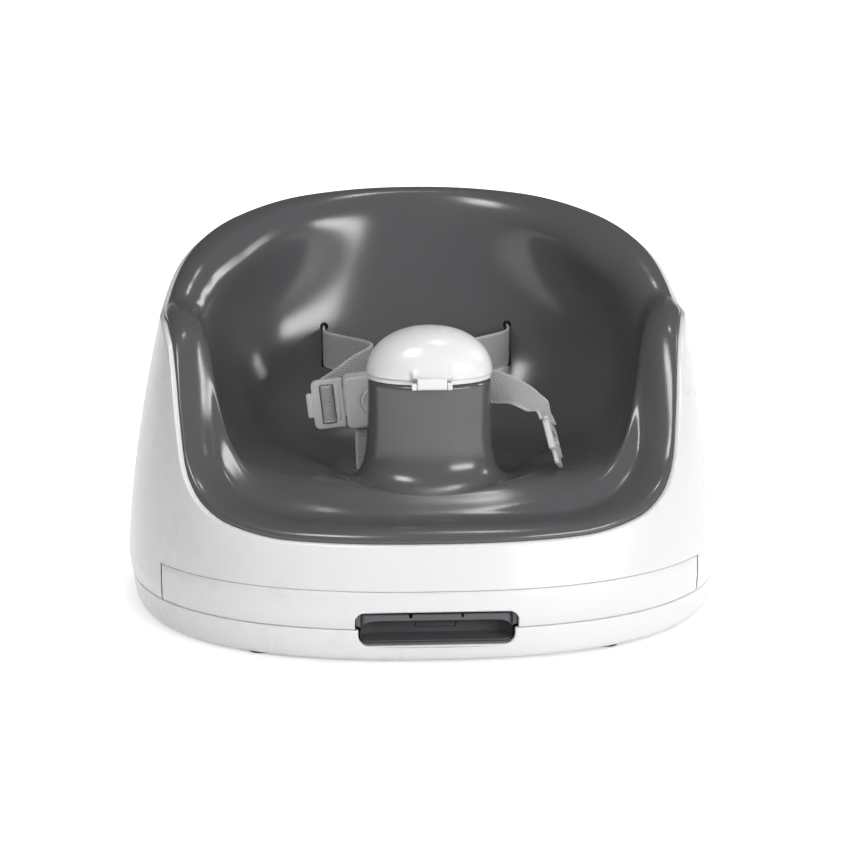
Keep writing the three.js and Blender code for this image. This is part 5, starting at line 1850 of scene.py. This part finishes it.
def strap_at(
    path: Points, sides: Points, share: float, step: float
) -> tuple[Points, Points, Points]:
    """Give a strap's middle at a place on its route, and how it lies there.

    Args:
        path: Points of the route.
        sides: Width directions at these points.
        share: Place on the route, from 0 to 1.
        step: How far to each side the direction along it is taken.

    Returns:
        The middle, the direction across and the normal of its face.
    """
    middle = path_point(path, share)
    along = path_point(path, min(share + step, 1)) - path_point(path, max(share - step, 0))
    along /= np.linalg.norm(along)
    across = path_point(sides, share)
    across -= along * across.dot(along)
    across /= np.linalg.norm(across)
    return middle, across, np.cross(along, across)


def ribbon(
    name: str, route: Route, width: float = 25, wall: float = 1.6, steps: int = 120
) -> Piece:
    """Make a woven strap along a route.

    Args:
        name: Name of the strap.
        route: Its route.
        width: Its width.
        wall: Its thickness.
        steps: Segments along it.

    Returns:
        The strap, with a weave layer in metres.
    """
    path, sides = route_arrays(route)
    half, deep = width / 2, wall / 2
    turns = np.radians([-60, -30, 0, 30, 60])
    arc = [(half - deep + deep * math.cos(turn), deep * math.sin(turn)) for turn in turns]
    places = np.linspace(half - deep, -half + deep, 15)
    flat = [(u, deep * (0.9 + 0.1 * abs(u / half) ** 6)) for u in places]
    section = arc + flat + [(-u, -v) for u, v in arc] + [(-u, -v) for u, v in flat]
    points, weave = [], []
    run, before = 0.0, None
    for i in range(steps + 1):
        middle, across, face = strap_at(path, sides, i / steps, 1e-4)
        run += 0.0 if before is None else float(np.linalg.norm(middle - before))
        before = middle
        for u, v in section:
            points.append(middle + across * u + face * v)
            weave.append((u * MM, run * MM))
    rows = np.array(points).reshape(steps + 1, len(section), 3)
    strap = skin(name, list(rows), angle=60)
    layer = strap.data.uv_layers.new(name=WEAVE_LAYER)
    flat_uv = np.array(weave)[[loop.vertex_index for loop in strap.data.loops]]
    layer.data.foreach_set("uv", flat_uv.astype(np.float32).ravel())
    return strap


# Radius of the sewing thread, and length of a stitch with the space after it
THREAD_RADIUS = 0.32
STITCH = 2.2


def stitches(
    name: str,
    at: Callable[[float, float], tuple[Points, Points]],
    runs: Sequence[tuple[Sequence[float], Sequence[float]]],
) -> Piece:
    """Make short raised threads along lines on a strap.

    Args:
        name: Name of the threads.
        at: Gives a point and the surface's normal for a place on the strap.
        runs: Lines as start and end places on the strap.

    Returns:
        The threads as one object.
    """
    points: list[Points] = []
    faces: list[tuple[int, ...]] = []
    sides = 6
    swells = ((0.0, 0.35), (0.2, 0.9), (0.5, 1.0), (0.8, 0.9), (1.0, 0.35))
    for start, end in runs:
        count = max(int(math.dist(start, end) / STITCH), 1)
        start, end = np.array(start), np.array(end)
        for i in range(count):
            low, high = (i + 0.12) / count, (i + 0.88) / count
            a, normal = at(*(start + (end - start) * low))
            b, _ = at(*(start + (end - start) * high))
            ahead = (b - a) / np.linalg.norm(b - a)
            side = np.cross(normal, ahead)
            base = len(points)
            for share, swell in swells:
                middle = a + (b - a) * share
                for turn in circle(sides):
                    out = math.cos(turn) * side + math.sin(turn) * normal
                    points.append(middle + THREAD_RADIUS * swell * out)
            for ring in range(base, base + sides * (len(swells) - 1), sides):
                for k in range(sides):
                    m = (k + 1) % sides
                    faces.append((ring + k, ring + m, ring + sides + m, ring + sides + k))
            faces.append(tuple(range(base, base + sides)))
            faces.append(tuple(range(len(points) - sides, len(points))))
    threads = make(name, np.array(points), faces, 80)
    threads.data.uv_layers.new(name=WEAVE_LAYER)
    return threads


@dataclass
class Harness:
    """Waist and crotch straps, the centre buckle and both tongues."""

    buckle_at: tuple[float, float, float] = (-32.5, -34, 134)
    buckle_lean: float = 6
    buckle_size: tuple[float, float, float] = (38, 34, 15)
    button_radius: float = 9
    button_flange: float = 1.4
    tongue_size: tuple[float, float, float] = (20, 32, 4)
    tongue_gap: float = 0.6
    seam_span: tuple[float, float] = (0.86, 0.95)
    seam_half_width: float = 9.5
    seam_lift: float = 0.78
    hang_from: tuple[float, float, float] = (74.6, -71.9, 126.6)
    hang_direction: tuple[float, float, float] = (5.6, -14.6, -24.5)
    hang_gap: float = 1.1

    def left_path(self) -> Route:
        """Give the route of the left waist strap.

        Returns:
            Points with width directions.
        """
        up = (0, 0, 1)
        return [
            ((-63, 104, 143), up), ((-63, 81, 143), up), ((-60, 66, 144), up),
            ((-48, 44, 145.5), (0, 0.1, 1)), ((-37, 17, 148.5), (0, 0.1, 1)),
            ((-32, 3.5, 149), (-0.08, 0.05, 1)),
            ((-34.3, -6.5, 148.3), (-0.22, 0, 0.98)), ((-40, -14, 146.6), (-0.4, 0, 0.92)),
            ((-47, -20.3, 142.8), (-0.5, 0, 0.86)), ((-54, -24.3, 138.6), (-0.46, 0, 0.88)),
            ((-60.5, -27, 135.2), (-0.35, 0, 0.93)), ((-65, -29.6, 133.2), (-0.15, 0, 0.99)),
        ]  # fmt: skip

    def right_path(self) -> Route:
        """Give the route of the right waist strap.

        Returns:
            Points with width directions.
        """
        up = (0, 0, 1)
        return [
            ((63, 104, 143), up), ((63, 81, 143), up), ((57.5, 64, 144), up),
            ((34, 36, 144.5), (0, 0.1, 1)), ((14, 8, 145), (0, 0.2, 1)),
            ((7, -8, 144.5), (0, 0.2, 1)), ((14, -24, 143.8), (0.1, 0.3, 0.93)),
            ((28, -36.5, 143.2), (0.3, 0.5, 0.8)), ((44.5, -48.1, 142.8), (0.72, 0.4, 0.58)),
            ((56.3, -56.3, 141), (0.72, 0.64, 0.27)), ((63.5, -62.3, 138), (0.7, 0.72, 0.09)),
            ((68.4, -65.4, 135.2), (0.6, 0.79, 0.05)), ((72.3, -68.5, 131.3), (0.5, 0.78, -0.39)),
            (self.hang_from, (0.43, 0.86, -0.27)),
        ]  # fmt: skip

    def crotch_path(self) -> Route:
        """Give the route of the crotch strap.

        Returns:
            Points with width directions.
        """
        side = (1, 0, 0)
        return [
            ((-32, -35, 77.85), side), ((-32, -35, 92), side), ((-32.4, -34.6, 105), side),
            ((-32.2, -34, 116), (1, 0, 0.1)),
        ]  # fmt: skip

    def seam(self, strap: str, route: Route) -> Piece:
        """Sew a box of stitches onto both faces of a strap.

        Args:
            strap: Name of the strap.
            route: Its route.

        Returns:
            The threads.
        """
        path, sides = route_arrays(route)
        start, end = self.seam_span
        length = float(np.linalg.norm(path_point(path, end) - path_point(path, start)))

        def on(face: int) -> Callable[[float, float], tuple[Points, Points]]:
            """Give the places on one face of the strap.

            Args:
                face: 1 for the upper face, -1 for the lower one.

            Returns:
                A function for the places of that face.
            """

            def at(u: float, v: float) -> tuple[Points, Points]:
                """Give a place on the face.

                Args:
                    u: Place across the strap.
                    v: Place along it, from the seam's start.

                Returns:
                    The point and the face's normal.
                """
                share = start + (end - start) * v / length
                middle, across, normal = strap_at(path, sides, share, 1e-3)
                return middle + across * u + normal * face * self.seam_lift, normal * face

            return at

        half = self.seam_half_width
        corners = [(-half, 0.0), (half, 0.0), (half, length), (-half, length)]
        edges = list(zip(corners, corners[1:] + corners[:1]))
        runs = edges + [(corners[0], corners[2]), (corners[1], corners[3])]
        return merge(f"{strap}_thread", [stitches("thread", on(face), runs) for face in (-1, 1)])

    def build_straps(self) -> None:
        """Build the three straps, and the seam on the left waist strap."""
        straps = (
            ("waist_left", self.left_path(), 150, "waist_strap_left"),
            ("waist_right", self.right_path(), 190, "waist_strap_right"),
            ("crotch", self.crotch_path(), 48, "crotch_strap"),
        )
        for name, route, steps, node in straps:
            register(ribbon(name, route, steps=steps), Body.SEAT, WEBBING, node)
        register(self.seam("waist_left", self.left_path()), Body.SEAT, BUCKLE)
        for node in ("strap_anchor_left", "strap_anchor_right", "crotch_anchor"):
            dress_node(node, INNER)

    def buckle_matrix(self) -> Matrix:
        """Give the buckle's place, in millimetres."""
        lean = Matrix.Rotation(math.radians(-self.buckle_lean), 4, "Y")
        return Matrix.Translation(self.buckle_at) @ lean

    def hanging_matrix(self) -> Matrix:
        """Give the free tongue's place: blade down and edge on to the front.

        Returns:
            Its matrix, in millimetres.
        """
        hanging = Vector(self.hang_direction).normalized()
        across = hanging.cross(Vector((0.95, -0.13, 0.3))).normalized()
        turn = Matrix((hanging, across.cross(hanging), across)).transposed().to_4x4()
        reach = self.buckle_size[0] / 2 + self.tongue_gap + self.tongue_size[0] + self.hang_gap
        return Matrix.Translation(Vector(self.hang_from) + hanging * reach) @ turn

    def tongue(self, name: str) -> Piece:
        """Make a tongue: plate with a strap window and bar, shoulder and blade.

        Args:
            name: Name of the tongue.

        Returns:
            The tongue, with its buckle's middle at the origin.
        """
        width, height, wall = self.tongue_size
        half = wall / 2
        edge = -self.buckle_size[0] / 2 - self.tongue_gap
        middle = edge - width / 2
        thick, quarter = (-half, half), (edge - width / 4, 0, 0)
        body = plate(name, (width, height), 4, thick, 0.9, Axis.Y, (middle, 0, 0), 8)
        square = plate("square", (width / 2, height), 0.9, thick, 0.9, Axis.Y, quarter)
        bar_at = (edge - 3.9, 0, 0)
        bar = plate("bar", (3.2, height - 9), 1.5, (-half - 0.5, half + 0.5), 0.9, Axis.Y, bar_at)
        blade = plate("blade", (14, 18), 2.5, (-1.2, 1.2), 0.4, Axis.Y, (edge + 1, 0, 0))
        carve(body, [square, bar, blade], Cut.JOIN)
        window_at = (middle - 0.2, 0, 0)
        window = plate("window", (9.4, height - 6), 1.2, (-10, 10), 0, Axis.Y, window_at)
        groove = box("groove", (edge - 1.7, edge - 1.1), (-9, -half + 0.35), (-20, 20))
        carve(body, [window, groove])
        lip_at, lip_y = (edge - width - 1.4, 0, 0), (-half + 0.3, half - 0.9)
        lip = plate("lip", (4.6, height / 2), 1.6, lip_y, 0.9, Axis.Y, lip_at, 8)
        return carve(body, [lip], Cut.JOIN)

    def loop(self, name: str) -> Piece:
        """Make the turn of webbing that fills a tongue's window.

        Args:
            name: Name of the piece.

        Returns:
            The webbing, with its buckle's middle at the origin.
        """
        width, height, _ = self.tongue_size
        middle = -self.buckle_size[0] / 2 - self.tongue_gap - width / 2 - 0.2
        turns = np.radians(np.linspace(-20, 200, 12))
        points = [(middle + 3.6 * math.cos(turn), 1.1 - 3 * math.sin(turn), 0) for turn in turns]
        route = [(point, (0, 0, 1)) for point in points]
        return ribbon(name, route, width=height - 7.6, wall=1.4, steps=60)

    def build_buckle(self) -> None:
        """Build the buckle's halves, its button and both tongues."""
        width, height, thick = self.buckle_size
        half = thick / 2
        place_at = self.buckle_matrix()

        def slots() -> list[Piece]:
            """Make the cutters of the slots for both blades."""
            ends = [(side * 25, side * 10.5) for side in (-1, 1)]
            return [box("slot", x, (-1.55, 1.55), (-9.6, 9.6)) for x in ends]

        face, depth = (width, height), (-half, -GAP / 2)
        front = plate("clasp_front", face, 4, depth, 1.8, Axis.Y, steps=10)
        hole = self.button_radius + GAP
        rooms = (
            (hole, (-20, 1)),
            (hole + self.button_flange, (-4, 1)),
            (hole + self.button_flange + 0.2, (-20, -half + 0.5)),
        )
        cut = [
            column("room", (0, 0), (radius, radius), ends, sides=64, axis=Axis.Y)
            for radius, ends in rooms
        ]
        cut += slots()
        register(place(carve(front, cut), place_at), Body.SEAT, BUCKLE, "buckle_front")
        back = plate("clasp_back", face, 4, (GAP / 2, half), 1.8, Axis.Y, steps=10)
        cut = [column("bed", (0, 0), (5, 5), (-1, half - 2.5), sides=40, axis=Axis.Y), *slots()]
        register(place(carve(back, cut), place_at), Body.SEAT, BUCKLE, "buckle_back")
        radius, flange = self.button_radius, self.button_radius + self.button_flange
        top = -half - 1.8
        turn = circle(64)
        profile = (
            (radius * 0.3, top + 0.85), (radius * 0.55, top + 0.6), (radius * 0.74, top + 0.2),
            (radius * 0.84, top), (radius - 0.6, top + 0.1), (radius - 0.12, top + 0.5),
            (radius, top + 1.1), (radius, -3.65), (flange, -3.65), (flange, -2.25),
        )  # fmt: skip
        rows = [Axis.Y.ring(reach * np.cos(turn), reach * np.sin(turn), y) for reach, y in profile]
        button = skin("button", rows, (0, top + 0.95, 0), (0, -2.25, 0))
        register(place(button, place_at), Body.BUTTON, BUCKLE, "buckle_button")
        ends = (("left", place_at), ("right", self.hanging_matrix()))
        for word, matrix in ends:
            tongue = place(self.tongue(f"plate_{word}"), matrix)
            register(tongue, Body.SEAT, BUCKLE, f"tongue_{word}")
        for word, matrix in ends:
            register(place(self.loop(f"loop_{word}"), matrix), Body.SEAT, WEBBING)
        dress_node("buckle_spring", STEEL)

    def build(self) -> None:
        """Build the whole harness."""
        self.build_straps()
        self.build_buckle()


@dataclass
class ChairStraps:
    """The two chair straps stowed in their channels below the base."""

    belts: tuple[tuple[str, float, float], ...] = (("seat_belt", 14, 150), ("back_belt", 86, 118))
    length: float = 27
    width: float = 36
    z: tuple[float, float] = (1.85, 10.85)
    strap_z: float = 3.95

    def route(self, y: float, reach: float, side: int) -> Route:
        """Give the route of one strap half.

        Args:
            y: Its place along Y.
            reach: How far out it goes.
            side: -1 for left, 1 for right.

        Returns:
            Points with width directions.
        """
        stations = [
            (self.length + GAP, 0), (self.length + 12, 0), (reach - 26, 0), (reach - 12, 0.1),
            (reach - 6, 2), (reach - 4.3, 6), (reach - 4, 12),
        ]  # fmt: skip
        return [((side * x, y, self.strap_z + rise), (0, 1, 0)) for x, rise in stations]

    def clip(self, name: str, y: float, side: int) -> Piece:
        """Make one half of a side-release buckle.

        Args:
            name: Name of the piece.
            y: Its place along Y.
            side: -1 for the socket, 1 for the plug.

        Returns:
            The piece, in place.
        """
        middle = (side * (self.length + GAP) / 2, y, 0)
        body = plate(name, (self.length - GAP, self.width), 5, self.z, 1.4, Axis.Z, middle, 8)
        if side < 0:
            cut = [box("mouth", (-self.length + 7, 1), (y - 13, y + 13), (4.25, 8.45))]
            for edge in (-1, 1):
                at = (-self.length * 0.45, y + edge * (self.width / 2 + 1))
                cut.append(column("grip", at, (6, 3.4), (0, 20)))
            return carve(body, cut)
        middles = [(-6, y + shift, 0) for shift in (-9.5, 9.5)]
        prongs = [plate("prong", (30, 5), 2, (4.65, 8.05), 0.5, Axis.Z, at) for at in middles]
        carve(body, prongs, Cut.JOIN)
        return carve(body, [box("window", (17, 21), (y - 13.5, y + 13.5), (0, 4.1))])

    def build(self) -> None:
        """Build both belts with their buckles."""
        for name, y, reach in self.belts:
            for side, word in ((-1, "left"), (1, "right")):
                strap = ribbon(f"{name}_web_{word}", self.route(y, reach, side), steps=90)
                register(strap, Body.BASE, WEBBING, f"{name}_strap_{word}")
            register(self.clip(f"{name}_clip", y, -1), Body.BASE, GREY, f"{name}_socket")
            register(self.clip(f"{name}_latch", y, 1), Body.BASE, GREY, f"{name}_plug")


@dataclass
class Lamp:
    """A soft area lamp."""

    name: str
    at: tuple[float, float, float]
    aim: tuple[float, float, float]
    size: tuple[float, float]
    power: float
    soft: bool = True
    shine: bool = True

    def build(self) -> None:
        """Add the lamp to the scene, for its light, its reflection or both."""
        light = bpy.data.lights.new(self.name, "AREA")
        light.shape = "RECTANGLE"
        light.size, light.size_y = self.size
        light.energy = self.power
        lamp = bpy.data.objects.new(self.name, light)
        lamp.location = self.at
        lamp.visible_diffuse, lamp.visible_glossy = self.soft, self.shine
        direction = Vector(self.aim) - Vector(self.at)
        lamp.rotation_euler = direction.to_track_quat("-Z", "Y").to_euler()
        bpy.context.scene.collection.objects.link(lamp)


@dataclass
class Studio:
    """Floor, world, lamps and camera."""

    azimuth: float = -3.1
    elevation: float = 14
    distance: float = 1.5
    target: tuple[float, float, float] = (0.0015, 0.0, 0.1075)
    lens: float = 97
    floor_half_width: float = 30000
    floor_colour: tuple[float, float, float, float] = (0.9, 0.9, 0.9, 1)
    floor_glow: tuple[float, float] = (0.3, 1.0)
    glow_reach: tuple[float, float] = (0.168, 0.235)
    world_level: float = 0.15
    world_seen: float = 0.87
    lamps: tuple[Lamp, ...] = (
        Lamp("key", (1.17, -1.43, 0.56), (0, 0, 0.12), (1.1, 0.34), 17.5),
        Lamp("side", (1.62, 0.45, 0.95), (0, 0, 0.12), (0.8, 0.8), 4.5, shine=False),
        Lamp("left", (-0.95, -1.05, 1.4), (0, 0, 0.12), (0.8, 0.8), 5, shine=False),
        Lamp("top", (0.4, -0.23, 1.95), (0, 0, 0.1), (0.8, 0.8), 6.5, shine=False),
        Lamp("front", (-0.5, -1.75, 0.9), (0, 0, 0.12), (1.6, 1.0), 9.5, shine=False),
        Lamp("back", (-0.2, 1.9, 0.9), (0, 0, 0.12), (1.2, 0.8), 4, shine=False),
        Lamp("card_side", (1.71, 0.06, 0.95), (0, 0, 0.12), (0.3, 0.6), 8.5, soft=False),
        Lamp("card_left", (-0.57, -1.08, 1.58), (0, 0, 0.12), (0.5, 0.55), 13, soft=False),
        Lamp("card_top", (0.31, -0.29, 1.97), (0, 0, 0.1), (0.26, 0.26), 4, soft=False),
    )

    def floor(self) -> None:
        """Lay the plain pale floor, which keeps the shadow and grows white away from the seat."""
        far = self.floor_half_width
        ground = box("floor", (-far, far), (-far, far), (-4, 0))
        material = bpy.data.materials.new("floor")
        material.use_nodes = True
        shader = material.node_tree.nodes["Principled BSDF"]
        sheet = Sheet(material.node_tree)
        sheet.put(self.floor_colour, shader.inputs["Base Color"])
        sheet.put(0.9, shader.inputs["Roughness"])
        sheet.put(0.1, shader.inputs["Specular IOR Level"])
        sheet.put((1, 1, 1, 1), shader.inputs["Emission Color"])
        path = sheet.add("ShaderNodeLightPath")
        seen = sheet.math("MAXIMUM", path.outputs["Is Camera Ray"], path.outputs["Is Glossy Ray"])
        position = sheet.add("ShaderNodeNewGeometry").outputs["Position"]
        away = sheet.add("ShaderNodeVectorMath", {"operation": "LENGTH"}, i0=position)
        glow = sheet.spread(away.outputs["Value"], *self.glow_reach, *self.floor_glow)
        sheet.put(sheet.times(seen, glow), shader.inputs["Emission Strength"])
        ground.data.materials.append(material)

    def world(self) -> None:
        """Set a background that is white to the camera and lights the seat at a lower level."""
        scene = bpy.context.scene
        world = bpy.data.worlds.new("studio")
        scene.world = world
        world.use_nodes = True
        sheet = Sheet(world.node_tree)
        background = world.node_tree.nodes["Background"]
        sheet.put((1, 1, 1, 1), background.inputs["Color"])
        seen = sheet.add("ShaderNodeLightPath").outputs["Is Camera Ray"]
        strength = sheet.plus(sheet.times(seen, self.world_seen), self.world_level)
        sheet.put(strength, background.inputs["Strength"])
        scene.view_settings.view_transform = "Standard"

    def camera(self) -> None:
        """Set the camera at the photograph's angle."""
        data = bpy.data.cameras.new("camera")
        data.lens = self.lens
        data.sensor_width = 36
        data.clip_end = 60
        camera = bpy.data.objects.new("camera", data)
        turn, rise = math.radians(self.azimuth), math.radians(self.elevation)
        across = math.cos(rise)
        ahead = Vector((math.sin(turn) * across, -math.cos(turn) * across, math.sin(rise)))
        camera.location = Vector(self.target) + ahead * self.distance
        camera.rotation_euler = (-ahead).to_track_quat("-Z", "Y").to_euler()
        bpy.context.scene.collection.objects.link(camera)
        bpy.context.scene.camera = camera

    def build(self) -> None:
        """Set up the whole studio."""
        self.floor()
        self.world()
        for lamp in self.lamps:
            lamp.build()
        self.camera()


def main() -> None:
    """Build the booster seat piece by piece."""
    logging.basicConfig(level=logging.INFO, format="%(name)s %(message)s")
    Studio().build()
    BaseShells().build()
    StoredTray().build()
    SeatInsert().build()
    PommelTop().build()
    Harness().build()
    ChairStraps().build()
    LOG.info("size written")


if __name__ == "__main__":
    main()
